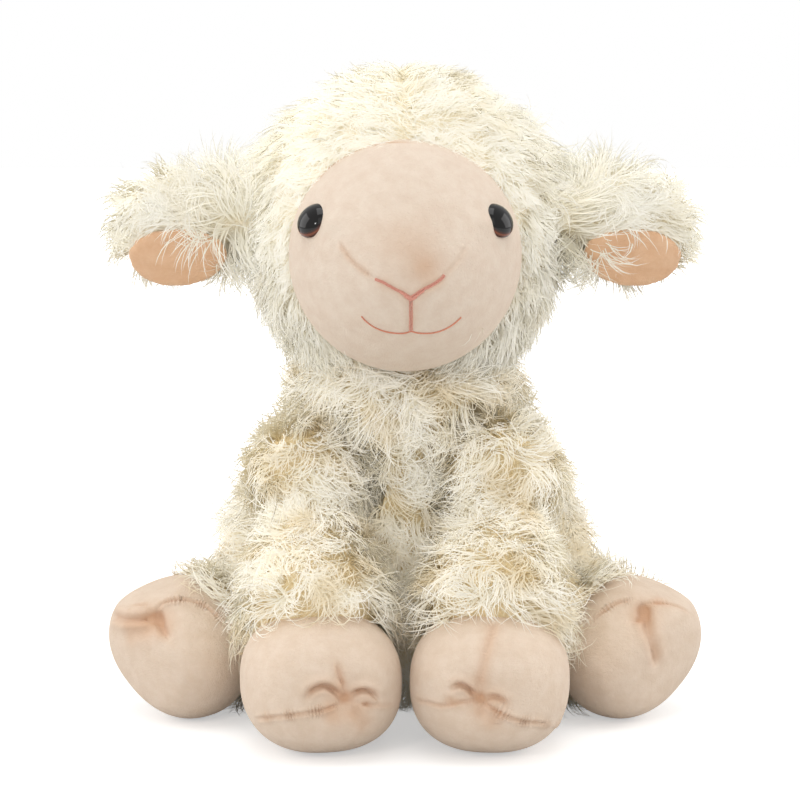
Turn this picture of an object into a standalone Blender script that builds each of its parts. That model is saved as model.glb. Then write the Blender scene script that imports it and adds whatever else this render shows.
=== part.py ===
"""Seated plush lamb: curly fur covers, short-pile face, hooves and ear linings, and the filling inside.

Metres, +Z up. The lamb faces -Y and sits on the floor at Z = 0, with the origin under its seat.
Left and right are the lamb's own, so its left side is at +X.
"""
import math

import bmesh
import bpy
from mathutils import Matrix, Vector
from mathutils.bvhtree import BVHTree

# Cloth and clearances
FUR_THICKNESS = 0.009
VELBOA_THICKNESS = 0.002
SEAM_GAP = 0.0003
FILLING_GAP = 0.0006
JOINT_GAP = 0.0009
FLOOR_PRESS = 0.0005
OVERRUN = 0.02

# Neck, a firm ball that the head turns and nods on
NECK_HEIGHT = 0.126
NECK_SET_BACK = 0.004
NECK_RADIUS = 0.046
NECK_CORE_RADIUS = 0.023
NECK_OPENING_RADIUS = 0.019

# Torso, a pear with its widest part at the rump
TORSO_ABOVE_NECK = 0.022
TORSO_HEIGHT = NECK_HEIGHT + TORSO_ABOVE_NECK
TORSO_HALF_WIDTH = 0.077
TORSO_HALF_DEPTH = 0.058
TORSO_SET_BACK = 0.014
PELLET_BAG_HEIGHT = 0.024

# Head
HEAD_HALF_WIDTH = 0.068
HEAD_HALF_DEPTH = 0.058
HEAD_HALF_HEIGHT = 0.0735
HEAD_ABOVE_NECK = 0.074
HEAD_FORWARD = 0.006

# Face, a ball with the muzzle drawn forward
FACE_HALF_WIDTH = 0.0475
FACE_HALF_DEPTH = 0.050
FACE_HALF_HEIGHT = 0.0475
FACE_FORWARD = 0.036
FACE_DROP = 0.006
MUZZLE_PULL = 0.006
MUZZLE_SPREAD = 0.026
MUZZLE_DROP = 0.010

# Safety eyes
EYE_RADIUS = 0.0075
EYE_DOME_HEIGHT = 0.0042
EYE_RIM_HEIGHT = 0.001
EYE_STEM_RADIUS = 0.0017
EYE_STEM_LENGTH = 0.011
WASHER_RADIUS = 0.0062
WASHER_THICKNESS = 0.0014
WASHER_SETBACK = 0.0024

# Embroidery
NOSE_THREAD_RADIUS = 0.0009
MOUTH_THREAD_RADIUS = 0.0006

# Ears
EAR_LENGTH = 0.061
EAR_HALF_HEIGHT = 0.027
EAR_HALF_THICKNESS = 0.012
EAR_ROOT_RADIUS = 0.015
EAR_ROOT_SINK = 0.004
EAR_RISE = 0.005
LINING_HALF_LENGTH = 0.023
LINING_HALF_HEIGHT = 0.0135

# Front legs
SHOULDER_HALF_SPACING = 0.040
SHOULDER_FORWARD = 0.028
SHOULDER_BELOW_NECK = 0.026
SHOULDER_HEIGHT = NECK_HEIGHT - SHOULDER_BELOW_NECK
SHOULDER_RADIUS = 0.028
FRONT_CUFF_RADIUS = 0.033
FRONT_HOOF_INSET = 0.006
FRONT_HOOF_REACH = 0.056
FRONT_HOOF_HALF_WIDTH = 0.0315
FRONT_HOOF_HALF_LENGTH = 0.036
FRONT_HOOF_HALF_HEIGHT = 0.0275
FRONT_SOLE_EDGE_HEIGHT = 0.015
FRONT_SOLE_TILT = math.radians(9)

HOOF_MOUTH_RADIUS = 0.012

# Hind legs, splayed out to the sides
HIP_HALF_SPACING = 0.054
HIP_SET_BACK = 0.014
THIGH_RADIUS = 0.034
HIND_SPLAY = math.radians(41)
HIND_REACH = 0.061
HIND_CUFF_RADIUS = 0.032
HIND_HOOF_HALF_WIDTH = 0.030
HIND_HOOF_HALF_LENGTH = 0.026
HIND_HOOF_HALF_HEIGHT = 0.0285
HIND_SOLE_FORWARD = 0.014
HIND_SOLE_TILT = math.radians(14)

# Tail
TAIL_HEIGHT = 0.056
TAIL_SINK = 0.001
TAIL_LENGTH = 0.040
TAIL_HALF_WIDTH = 0.015
TAIL_HALF_THICKNESS = 0.011
TAIL_ROOT_RADIUS = 0.011
TAIL_DROOP = math.radians(38)

# Facets
BALL_SIDES = 14
HEAD_SIDES = 16
NECK_SIDES = 24
TORSO_CAGE_SIDES = 8
CAGE_SIDES = 6
INNER_BALL_SIDES = 10
EYE_STEPS = 10
DOME_POINTS = 3
THREAD_RESOLUTION = 1

SIDES = {"left": 1, "right": -1}
EVERY_WAY = Vector((1, 1, 1))


# Tools

def empty_scene():
    for leftover in list(bpy.data.objects):
        bpy.data.objects.remove(leftover)


def new_collection(title):
    collection = bpy.data.collections.new(title)
    bpy.context.scene.collection.children.link(collection)
    return collection


empty_scene()
LAMB = new_collection("plush_lamb")
CUTTERS = new_collection("cutters")


def new_material(title, colour, roughness):
    material = bpy.data.materials.new(title)
    material.use_nodes = True
    shader = material.node_tree.nodes["Principled BSDF"]
    shader.inputs["Base Color"].default_value = (*colour, 1)
    shader.inputs["Roughness"].default_value = roughness
    shader.inputs["Metallic"].default_value = 0
    return material


CURLY_FUR = new_material("curly_fur", (0.86, 0.81, 0.66), 0.95)
VELBOA = new_material("velboa", (0.84, 0.66, 0.52), 0.9)
EAR_VELBOA = new_material("ear_velboa", (0.76, 0.46, 0.28), 0.9)
FILLING = new_material("filling", (0.9, 0.9, 0.88), 1)
PELLET_CLOTH = new_material("pellet_cloth", (0.75, 0.75, 0.72), 0.9)
EYE_PLASTIC = new_material("eye_plastic", (0.02, 0.012, 0.01), 0.05)
WASHER_PLASTIC = new_material("washer_plastic", (0.8, 0.8, 0.78), 0.4)
PINK_THREAD = new_material("pink_thread", (0.66, 0.28, 0.24), 0.6)


def add_object(title, data, material=None):
    """A piece of the lamb if it has a material, and otherwise a hidden cutter."""
    obj = bpy.data.objects.new(title, data)
    if material:
        data.materials.append(material)
        LAMB.objects.link(obj)
    else:
        obj.hide_render = True
        obj.display_type = "WIRE"
        CUTTERS.objects.link(obj)
    return obj


def add_mesh(title, bm, material=None):
    mesh = bpy.data.meshes.new(title)
    bm.to_mesh(mesh)
    bm.free()
    mesh.shade_smooth()
    return add_object(title, mesh, material)


def split_quads(obj):
    """Splits bent quads the same way on every copy of a form, so that the copies stay parallel."""
    split = obj.modifiers.new("split", "TRIANGULATE")
    split.quad_method = "FIXED"


def move_skin(obj, inset):
    """Moves the whole skin in by inset, or out where it is negative."""
    skin = obj.modifiers.new("skin", "DISPLACE")
    skin.mid_level = 0
    skin.strength = -inset


def make_shell(obj, wall):
    """Leaves only a wall of cloth under the skin."""
    cloth = obj.modifiers.new("cloth", "SOLIDIFY")
    cloth.thickness = wall
    cloth.offset = -1


def ball(title, centre, radii, material=None, sides=BALL_SIDES, pole=(0, 0, 1)):
    """A round form whose facets close at poles along the given direction."""
    turn = Vector((0, 0, 1)).rotation_difference(Vector(pole)).to_matrix().to_4x4()
    place = Matrix.Translation(centre) @ Matrix.Diagonal((*radii, 1)) @ turn
    bm = bmesh.new()
    bmesh.ops.create_uvsphere(bm, u_segments=sides, v_segments=sides // 2, radius=1, matrix=place)
    return add_mesh(title, bm, material)


def ring_place(centre, across, upright):
    """The matrix that carries the unit circle to a ring with these two half axes."""
    columns = (across, upright, across.cross(upright).normalized(), centre)
    return Matrix([[column[row] for column in columns] for row in range(3)] + [[0, 0, 0, 1]])


def inset_rings(rings, inset):
    """The same rings drawn in by inset, or let out where it is negative."""
    first, last = rings[0][0], rings[-1][0]
    middle = (first + last) / 2
    shrink = 1 - 2 * inset / (last - first).length
    return [
        (middle + (centre - middle) * shrink, a - inset * a.normalized(), u - inset * u.normalized())
        for centre, a, u in rings
    ]


def swelling(title, rings, material=None, sides=CAGE_SIDES, inset=0):
    """A stuffed form that swells and tapers along its rings, each (centre, across, upright)."""
    tighten = 3 / (2 + math.cos(math.tau / sides))
    places = [ring_place(centre, a * tighten, u * tighten) for centre, a, u in inset_rings(rings, inset)]
    bm = bmesh.new()
    bmesh.ops.create_circle(bm, segments=sides, radius=1, matrix=places[0], cap_ends=True)
    loop = list(bm.edges)
    for last, place in zip(places, places[1:]):
        grown = bmesh.ops.extrude_edge_only(bm, edges=loop)["geom"]
        points = [g for g in grown if isinstance(g, bmesh.types.BMVert)]
        bmesh.ops.transform(bm, matrix=place @ last.inverted(), verts=points)
        loop = [edge for edge in bm.edges if edge.is_boundary]
    bmesh.ops.contextual_create(bm, geom=loop)
    bmesh.ops.recalc_face_normals(bm, faces=bm.faces)
    obj = add_mesh(title, bm, material)
    smooth = obj.modifiers.new("smooth", "SUBSURF")
    smooth.levels = smooth.render_levels = 1
    split_quads(obj)
    return obj


def aimed(start, direction):
    """The place at start whose Z axis points in the direction."""
    turn = Vector((0, 0, 1)).rotation_difference(direction).to_matrix().to_4x4()
    return Matrix.Translation(start) @ turn


def block(title, place, half_sizes):
    """A box cutter."""
    sizes = Matrix.Diagonal((*(2 * half for half in half_sizes), 1))
    bm = bmesh.new()
    bmesh.ops.create_cube(bm, size=1, matrix=place @ sizes)
    return add_mesh(title, bm)


def rod(title, place, radius, length, sides=BALL_SIDES):
    """A cylinder cutter whose base is at the place's origin and which runs up its Z axis."""
    middle = place @ Matrix.Translation((0, 0, length / 2))
    bm = bmesh.new()
    bmesh.ops.create_cone(
        bm, cap_ends=True, segments=sides, radius1=radius, radius2=radius, depth=length, matrix=middle
    )
    return add_mesh(title, bm)


def combine(target, operation, others, solver="EXACT"):
    for other in others:
        boolean = target.modifiers.new(other.name, "BOOLEAN")
        boolean.operation = operation
        boolean.solver = solver
        boolean.object = other
    return target


def cut(target, *others):
    return combine(target, "DIFFERENCE", others)


def join(target, *others):
    return combine(target, "UNION", others)


def keep_inside(target, *others):
    return combine(target, "INTERSECT", others)


def axis_empty(title, pivot, parent=None):
    """An empty on a joint's axis, for the pieces that turn on it."""
    empty = bpy.data.objects.new(title, None)
    empty.matrix_world = Matrix.Translation(pivot)
    LAMB.objects.link(empty)
    bpy.context.view_layer.update()
    if parent:
        carry(parent, empty)
    return empty


def carry(empty, *pieces):
    """Parents the pieces to a joint's empty and leaves them where they are."""
    for piece in pieces:
        piece.parent = empty
        piece.matrix_parent_inverse = empty.matrix_world.inverted()


# Floor, which presses everything that rests on it flat

FLOOR_REACH = HIP_HALF_SPACING + HIND_REACH + HIND_HOOF_HALF_WIDTH + FRONT_HOOF_REACH
FLOOR = block("floor_cut", Matrix.Translation((0, 0, -OVERRUN)), (FLOOR_REACH, FLOOR_REACH, OVERRUN))


# Torso and neck

NECK_PIVOT = Vector((0, NECK_SET_BACK, NECK_HEIGHT))

# share of the height, of the half width and half depth, and of the set-back; two rings make a flat seat
TORSO_RING_SHARES = (
    (0.00, 0.36, 1.00),
    (0.00, 0.70, 1.00),
    (0.12, 0.99, 1.00),
    (0.44, 1.06, 0.85),
    (0.80, 0.76, 0.35),
    (1.00, 0.43, 0.29),
)


def pear_form(title, material=None, inset=0):
    """The pear of the torso alone."""
    rings = []
    for height, width, back in TORSO_RING_SHARES:
        centre = Vector((0, back * TORSO_SET_BACK, height * TORSO_HEIGHT - FLOOR_PRESS))
        across = Vector((width * TORSO_HALF_WIDTH, 0, 0))
        rings.append((centre, across, Vector((0, width * TORSO_HALF_DEPTH, 0))))
    return swelling(title, rings, material, CAGE_SIDES if inset else TORSO_CAGE_SIDES, inset)


def torso_form(title, material=None, inset=0):
    """The pear with the ball of the neck on top."""
    neck_sides = BALL_SIDES if inset else NECK_SIDES
    neck = ball(f"{title}_neck", NECK_PIVOT, (NECK_RADIUS - inset) * EVERY_WAY, sides=neck_sides)
    return join(pear_form(title, material, inset), neck)


def build_torso(pockets):
    """The fur cover, the filling under it and the pellet bag that weighs the seat down."""
    opening_length = NECK_RADIUS + OVERRUN
    opening = rod("neck_opening", Matrix.Translation(NECK_PIVOT), NECK_OPENING_RADIUS, opening_length)
    cover = torso_form("body_cover", CURLY_FUR)
    cut(cover, torso_form("body_hollow", inset=FUR_THICKNESS), opening, *pockets, FLOOR)

    bag_top = Matrix.Translation((0, 0, FUR_THICKNESS + PELLET_BAG_HEIGHT))
    half_sizes = (FLOOR_REACH, FLOOR_REACH, TORSO_HEIGHT)
    above_bag = block("above_pellet_bag", bag_top @ Matrix.Translation((0, 0, TORSO_HEIGHT)), half_sizes)
    below_filling = block(
        "below_filling", bag_top @ Matrix.Translation((0, 0, SEAM_GAP - TORSO_HEIGHT)), half_sizes
    )
    core_radii = (NECK_CORE_RADIUS + JOINT_GAP) * EVERY_WAY
    core_room = ball("neck_core_room", NECK_PIVOT, core_radii, sides=HEAD_SIDES)
    filling = torso_form("body_filling", FILLING, FUR_THICKNESS + FILLING_GAP)
    cut(filling, below_filling, core_room, opening, *pockets)
    bag = pear_form("pellet_bag", PELLET_CLOTH, FUR_THICKNESS + FILLING_GAP)
    cut(bag, above_bag, *pockets)


def build_neck():
    """The core of firm filling in the neck, with a stub that carries the head."""
    core = ball("neck_filling", NECK_PIVOT, NECK_CORE_RADIUS * EVERY_WAY, FILLING)
    stub_radius = NECK_OPENING_RADIUS - JOINT_GAP
    stub = rod("neck_stub", Matrix.Translation(NECK_PIVOT), stub_radius, NECK_RADIUS + OVERRUN)
    keep_inside(stub, ball("neck_stub_top", NECK_PIVOT, NECK_RADIUS * EVERY_WAY, sides=NECK_SIDES))
    return join(core, stub)


# Head and face

HEAD_CENTRE = NECK_PIVOT + Vector((0, -HEAD_FORWARD, HEAD_ABOVE_NECK))
FACE_CENTRE = HEAD_CENTRE + Vector((0, -FACE_FORWARD, -FACE_DROP))


def head_form(title, material=None, inset=0):
    """The egg of the head."""
    radii = Vector((HEAD_HALF_WIDTH, HEAD_HALF_DEPTH, HEAD_HALF_HEIGHT)) - inset * EVERY_WAY
    return ball(title, HEAD_CENTRE, radii, material, sides=HEAD_SIDES)


def face_form(title, material=None, inset=0):
    """The ball of the face, with the muzzle drawn forward."""
    radii = Vector((FACE_HALF_WIDTH, FACE_HALF_DEPTH, FACE_HALF_HEIGHT)) - inset * EVERY_WAY
    obj = ball(title, FACE_CENTRE, radii, material, sides=HEAD_SIDES, pole=(0, -1, 0))
    muzzle_height = FACE_CENTRE.z - MUZZLE_DROP
    for vertex in obj.data.vertices:
        ahead = max(0, FACE_CENTRE.y - vertex.co.y) / FACE_HALF_DEPTH
        away = math.hypot(vertex.co.x, vertex.co.z - muzzle_height) / MUZZLE_SPREAD
        vertex.co.y -= MUZZLE_PULL * ahead * math.exp(-away * away)
    split_quads(obj)
    return obj


def face_search_tree():
    """Finds points on the face's skin, for what lies on it."""
    guide = face_form("face_guide")
    bpy.context.view_layer.update()
    return BVHTree.FromObject(guide, bpy.context.evaluated_depsgraph_get())


def on_face(tree, x_share, z_share):
    """(point, outward normal) of the skin, at shares of the face's half width and half height."""
    ahead = FACE_CENTRE - Vector((0, 2 * FACE_HALF_DEPTH, 0))
    start = ahead + Vector((x_share * FACE_HALF_WIDTH, 0, z_share * FACE_HALF_HEIGHT))
    point, normal, _, _ = tree.ray_cast(start, Vector((0, 1, 0)))
    return point, normal


def turned(title, profile, place, material, closed=False):
    """A Screw of (radius, height) points about Z. They run down the outer side, top to bottom."""
    bm = bmesh.new()
    points = [bm.verts.new((radius, 0, height)) for radius, height in profile]
    for first, second in zip(points, points[1:]):
        bm.edges.new((first, second))
    if closed:
        bm.edges.new((points[-1], points[0]))
    obj = add_mesh(title, bm, material)
    obj.matrix_world = place
    screw = obj.modifiers.new("turn", "SCREW")
    screw.steps = screw.render_steps = EYE_STEPS
    screw.use_merge_vertices = True
    screw.merge_threshold = SEAM_GAP / 10
    return obj


EYE_PLACE_SHARES = (0.775, 0.33)


def build_eye(side_name, side, tree):
    """A safety eye, its locking washer, and the cutters that they need in the face and in the filling."""
    point, normal = on_face(tree, side * EYE_PLACE_SHARES[0], EYE_PLACE_SHARES[1])
    place = aimed(point + normal * SEAM_GAP, normal)

    profile = [(0, EYE_RIM_HEIGHT + EYE_DOME_HEIGHT)]
    for step in range(1, DOME_POINTS + 1):
        angle = math.radians(90) * step / DOME_POINTS
        height = EYE_RIM_HEIGHT + EYE_DOME_HEIGHT * math.cos(angle)
        profile.append((EYE_RADIUS * math.sin(angle), height))
    profile += [
        (EYE_RADIUS, 0),
        (EYE_STEM_RADIUS, 0),
        (EYE_STEM_RADIUS, -EYE_STEM_LENGTH),
        (0, -EYE_STEM_LENGTH),
    ]
    eye = turned(f"eye_{side_name}", profile, place, EYE_PLASTIC)

    bore = EYE_STEM_RADIUS + SEAM_GAP
    top = -(VELBOA_THICKNESS + SEAM_GAP + WASHER_SETBACK)
    bottom = top - WASHER_THICKNESS
    ring = [(WASHER_RADIUS, top), (WASHER_RADIUS, bottom), (bore, bottom), (bore, top)]
    washer = turned(f"eye_washer_{side_name}", ring, place, WASHER_PLASTIC, closed=True)

    hole = rod(f"eye_hole_{side_name}", place @ Matrix.Translation((0, 0, -OVERRUN)), bore, 2 * OVERRUN)
    well_floor = place @ Matrix.Translation((0, 0, -EYE_STEM_LENGTH - SEAM_GAP))
    well = rod(f"washer_well_{side_name}", well_floor, WASHER_RADIUS + SEAM_GAP, 2 * EYE_STEM_LENGTH)
    return eye, washer, hole, well


# x and z shares of the face's half sizes
NOSE_SHARES = ((-0.33, -0.03), (-0.18, -0.13), (0.00, -0.205), (0.18, -0.13), (0.33, -0.03))
LIP_SHARES = ((0.00, -0.27), (0.00, -0.38), (0.00, -0.49))
MOUTH_SHARES = (
    (-0.42, -0.415),
    (-0.33, -0.485),
    (-0.20, -0.535),
    (0.00, -0.545),
    (0.20, -0.535),
    (0.33, -0.485),
    (0.42, -0.415),
)


def with_midpoints(shares):
    """The same line with a point halfway along each run."""
    line = [shares[0]]
    for first, second in zip(shares, shares[1:]):
        line.append(tuple((a + b) / 2 for a, b in zip(first, second)))
        line.append(second)
    return line


def stitch_line(title, shares, radius, tree):
    """A line of embroidery that lies on the face."""
    route = with_midpoints(shares)
    curve = bpy.data.curves.new(title, "CURVE")
    curve.dimensions = "3D"
    curve.bevel_depth = radius
    curve.bevel_resolution = THREAD_RESOLUTION
    curve.use_fill_caps = True
    spline = curve.splines.new("POLY")
    spline.points.add(len(route) - 1)
    for control, (x_share, z_share) in zip(spline.points, route):
        point, normal = on_face(tree, x_share, z_share)
        control.co = (*(point + normal * (radius + SEAM_GAP)), 1)
    return add_object(title, curve, PINK_THREAD)


def build_head(ear_pockets):
    """Fur hood, velboa face, filling, eyes and embroidery."""
    neck_room = ball("head_neck_room", NECK_PIVOT, (NECK_RADIUS + JOINT_GAP) * EVERY_WAY, sides=NECK_SIDES)
    tree = face_search_tree()
    eyes, holes, wells = [], [], []
    for side_name, side in SIDES.items():
        eye, washer, hole, well = build_eye(side_name, side, tree)
        eyes += [eye, washer]
        holes.append(hole)
        wells.append(well)

    hood = head_form("head_cover", CURLY_FUR)
    make_shell(hood, FUR_THICKNESS)
    cut(hood, face_form("face_opening", inset=-SEAM_GAP), neck_room, *ear_pockets)

    face = face_form("face_panel", VELBOA)
    make_shell(face, VELBOA_THICKNESS)
    cut(face, head_form("face_back_cut", inset=FUR_THICKNESS), neck_room, *holes)

    filling = head_form("head_filling", FILLING, FUR_THICKNESS + FILLING_GAP)
    join(filling, face_form("face_filling", inset=VELBOA_THICKNESS + FILLING_GAP))
    cut(filling, neck_room, *wells, *ear_pockets)

    nose = stitch_line("nose_stitches", NOSE_SHARES, NOSE_THREAD_RADIUS, tree)
    lip = stitch_line("lip_stitches", LIP_SHARES, MOUTH_THREAD_RADIUS, tree)
    mouth = stitch_line("mouth_stitches", MOUTH_SHARES, MOUTH_THREAD_RADIUS, tree)
    return [hood, face, filling, *eyes, nose, lip, mouth]


# Ears, each with a ball root that sits in the hood

# share of the length, of the half height as rise, and of the half height and half thickness
EAR_RING_SHARES = (
    (0.08, 0.00, 0.54, 0.76),
    (0.28, -0.04, 0.98, 1.00),
    (0.62, -0.12, 1.06, 1.02),
    (0.90, -0.12, 0.72, 0.82),
    (0.99, -0.05, 0.34, 0.46),
)
LINING_PLACE_SHARES = (0.50, -0.62)


def ear_pivot(side):
    reach = HEAD_HALF_WIDTH - EAR_ROOT_SINK
    return Vector((side * reach, HEAD_CENTRE.y, HEAD_CENTRE.z + EAR_RISE))


def ear_leaf(title, side, material=None, inset=0):
    """The ear from its root out to the blunt tip."""
    rings = []
    for out, rise, height, thickness in EAR_RING_SHARES:
        centre = ear_pivot(side) + Vector((side * out * EAR_LENGTH, 0, rise * EAR_HALF_HEIGHT))
        across = Vector((0, thickness * EAR_HALF_THICKNESS, 0))
        rings.append((centre, across, Vector((0, 0, height * EAR_HALF_HEIGHT))))
    leaf = swelling(title, rings, material)
    move_skin(leaf, inset)
    return leaf


def ear_ball(title, side, grow=0):
    radii = (EAR_ROOT_RADIUS + grow) * EVERY_WAY
    return ball(title, ear_pivot(side), radii, sides=INNER_BALL_SIDES, pole=(0, 1, 0))


def lining_window(title, side, grow=0):
    """The outline of the lining, as a cutter through the front of the ear."""
    out, rise = LINING_PLACE_SHARES
    place = Vector((side * out * EAR_LENGTH, -EAR_HALF_THICKNESS, rise * EAR_HALF_HEIGHT))
    radii = (LINING_HALF_LENGTH + grow, EAR_HALF_THICKNESS, LINING_HALF_HEIGHT + grow)
    return ball(title, ear_pivot(side) + place, radii, pole=(0, 1, 0))


def build_ear(side_name, side):
    """Curly fur over the back and top, and a velboa lining let into the lower front."""
    lining = ear_leaf(f"ear_lining_{side_name}", side, EAR_VELBOA)
    make_shell(lining, VELBOA_THICKNESS)
    keep_inside(lining, lining_window(f"ear_window_{side_name}", side))

    recess = lining_window(f"ear_recess_{side_name}", side, SEAM_GAP)
    cut(recess, ear_leaf(f"ear_bed_{side_name}", side, inset=VELBOA_THICKNESS + SEAM_GAP))
    outer = ear_leaf(f"ear_outer_{side_name}", side, CURLY_FUR)
    cut(outer, recess)
    join(outer, ear_ball(f"ear_root_{side_name}", side))
    return outer, lining


# Legs: a fur sleeve with a ball at its upper end, and a velboa hoof with its own sole

# share of the way to the hoof, and of the cuff's radius
FRONT_SLEEVE_SHARES = (
    (0.02, 0.50),
    (0.24, 0.60),
    (0.42, 0.86),
    (0.60, 1.03),
    (0.77, 0.98),
    (0.86, 0.66),
)
HIND_SLEEVE_SHARES = (
    (0.02, 0.60),
    (0.24, 0.72),
    (0.46, 0.81),
    (0.68, 0.98),
    (0.84, 0.92),
    (0.94, 0.64),
)


def sleeve_form(title, top, end, radius, cuff_radius, ring_shares, pole, material, inset):
    """A limb from its ball towards its hoof."""
    along = end - top
    run = along.normalized()
    across = run.cross(Vector((0, 0, 1))).normalized()
    rings = []
    for far, wide in ring_shares:
        ring_radius = wide * cuff_radius
        rings.append((top + far * along, across * ring_radius, across.cross(run) * ring_radius))
    ball_sides = BALL_SIDES
    if inset > 0:
        ball_sides = INNER_BALL_SIDES
        rings = rings[::2]
    shank = swelling(f"{title}_shank", rings, inset=inset)
    return join(ball(title, top, (radius - inset) * EVERY_WAY, material, ball_sides, pole), shank)


def shoulder(side):
    return Vector((side * SHOULDER_HALF_SPACING, -SHOULDER_FORWARD, SHOULDER_HEIGHT))


def front_hoof_centre(side):
    inward = side * (SHOULDER_HALF_SPACING - FRONT_HOOF_INSET)
    height = FRONT_HOOF_HALF_HEIGHT - FLOOR_PRESS
    return Vector((inward, -SHOULDER_FORWARD - FRONT_HOOF_REACH, height))


def hip(side):
    return Vector((side * HIP_HALF_SPACING, HIP_SET_BACK, THIGH_RADIUS - FLOOR_PRESS))


def hind_axes(side):
    """(along the foot, across it), both level."""
    along = Vector((side * math.sin(HIND_SPLAY), -math.cos(HIND_SPLAY), 0))
    return along, Vector((-along.y, along.x, 0))


def hind_hoof_centre(side):
    centre = hip(side) + HIND_REACH * hind_axes(side)[0]
    centre.z = HIND_HOOF_HALF_HEIGHT - FLOOR_PRESS
    return centre


def front_sleeve(title, side, material=None, inset=0):
    return sleeve_form(
        title, shoulder(side), front_hoof_centre(side), SHOULDER_RADIUS, FRONT_CUFF_RADIUS,
        FRONT_SLEEVE_SHARES, (1, 0, 0), material, inset,
    )


def hind_sleeve(title, side, material=None, inset=0):
    return sleeve_form(
        title, hip(side), hind_hoof_centre(side), THIGH_RADIUS, HIND_CUFF_RADIUS,
        HIND_SLEEVE_SHARES, (0, 0, 1), material, inset,
    )


# share of the half height as height, and of the half width and half length; two rings make a flat sole
FRONT_HOOF_RING_SHARES = ((-1.00, 0.34), (-1.00, 0.70), (-0.60, 1.02), (0.34, 1.04), (0.92, 0.56))

# share of the half length as distance, and of the half width and half height
HIND_HOOF_RING_SHARES = ((-0.96, 0.56), (-0.42, 0.98), (0.56, 1.00), (0.98, 0.64))


def front_hoof(title, side, material=None, inset=0):
    """A squat round hoof that stands on its sole."""
    rings = []
    for height, width in FRONT_HOOF_RING_SHARES:
        centre = front_hoof_centre(side) + Vector((0, 0, height * FRONT_HOOF_HALF_HEIGHT))
        across = Vector((width * FRONT_HOOF_HALF_WIDTH, 0, 0))
        rings.append((centre, across, Vector((0, width * FRONT_HOOF_HALF_LENGTH, 0))))
    hoof = swelling(title, rings, material)
    move_skin(hoof, inset)
    return hoof


def hind_hoof(title, side, material=None, inset=0):
    """A round foot that lies on its heel with the sole turned forward."""
    along, across = hind_axes(side)
    rings = []
    for far, width in HIND_HOOF_RING_SHARES:
        centre = hind_hoof_centre(side) + along * far * HIND_HOOF_HALF_LENGTH
        upright = Vector((0, 0, width * HIND_HOOF_HALF_HEIGHT))
        rings.append((centre, across * width * HIND_HOOF_HALF_WIDTH, upright))
    hoof = swelling(title, rings, material)
    move_skin(hoof, inset)
    return hoof


def front_sole_side(title, side, gap):
    """Everything below the seam of the sole, which rises towards the toe."""
    middle = front_hoof_centre(side)
    middle.z = FRONT_SOLE_EDGE_HEIGHT
    reach = 2 * FRONT_HOOF_HALF_LENGTH
    tilt = Matrix.Translation(middle) @ Matrix.Rotation(-FRONT_SOLE_TILT, 4, "X")
    return block(title, tilt @ Matrix.Translation((0, 0, -reach - gap)), reach * EVERY_WAY)


def hind_sole_side(title, side, gap):
    """Everything ahead of the seam of the upturned sole."""
    along, across = hind_axes(side)
    middle = hind_hoof_centre(side) + along * HIND_SOLE_FORWARD
    seam = aimed(middle, Matrix.Rotation(HIND_SOLE_TILT, 3, -across) @ along)
    reach = 2 * HIND_HOOF_HALF_WIDTH
    return block(title, seam @ Matrix.Translation((0, 0, reach + gap)), reach * EVERY_WAY)


def build_leg(limb, side_name, side, top, hoof_centre, sleeve, hoof, sole_side, neighbours):
    """One leg: the fur sleeve, the hoof and its sole as cloth shells, and the filling."""
    tag = f"{limb}_{{}}_{side_name}"
    up_leg = top - hoof_centre
    neck_length = up_leg.length / 2
    mouth_place = aimed(hoof_centre, up_leg)
    mouth = rod(tag.format("hoof_mouth"), mouth_place, HOOF_MOUTH_RADIUS, neck_length, INNER_BALL_SIDES)
    room = hoof(tag.format("hoof_room"), side, inset=-SEAM_GAP)

    cover = sleeve(tag.format("sleeve"), side, CURLY_FUR)
    hollow = sleeve(tag.format("sleeve_hollow"), side, inset=FUR_THICKNESS)
    # EXACT loses the sleeve where the hoof's room grazes its hollow, and MANIFOLD keeps it
    combine(cover, "DIFFERENCE", [hollow, room, mouth, *neighbours, FLOOR], "MANIFOLD")

    upper = hoof(tag.format("hoof"), side, VELBOA)
    make_shell(upper, VELBOA_THICKNESS)
    cut(upper, mouth, sole_side(tag.format("sole_side"), side, 0), FLOOR)

    sole = hoof(tag.format("sole"), side, VELBOA)
    make_shell(sole, VELBOA_THICKNESS)
    keep_inside(sole, sole_side(tag.format("sole_keep"), side, SEAM_GAP))
    cut(sole, FLOOR)

    filling = sleeve(tag.format("filling"), side, FILLING, FUR_THICKNESS + FILLING_GAP)
    neck_radius = HOOF_MOUTH_RADIUS - FILLING_GAP
    neck = rod(tag.format("filling_neck"), mouth_place, neck_radius, neck_length, INNER_BALL_SIDES)
    cut(filling, room)
    join(filling, hoof(tag.format("hoof_filling"), side, inset=VELBOA_THICKNESS + FILLING_GAP), neck)
    cut(filling, *neighbours)
    return cover, upper, sole, filling


# Tail

# share of the length, and of the half width and half thickness
TAIL_RING_SHARES = ((0.00, 0.45), (0.18, 0.70), (0.50, 1.02), (0.82, 0.84), (0.97, 0.42))


def tail_pivot():
    """On the back of the rump, sunk a little under the fur."""
    return Vector((0, TORSO_SET_BACK + TORSO_HALF_DEPTH - TAIL_SINK, TAIL_HEIGHT))


def tail_ball(title, grow=0):
    radii = (TAIL_ROOT_RADIUS + grow) * EVERY_WAY
    return ball(title, tail_pivot(), radii, sides=INNER_BALL_SIDES, pole=(1, 0, 0))


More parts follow.
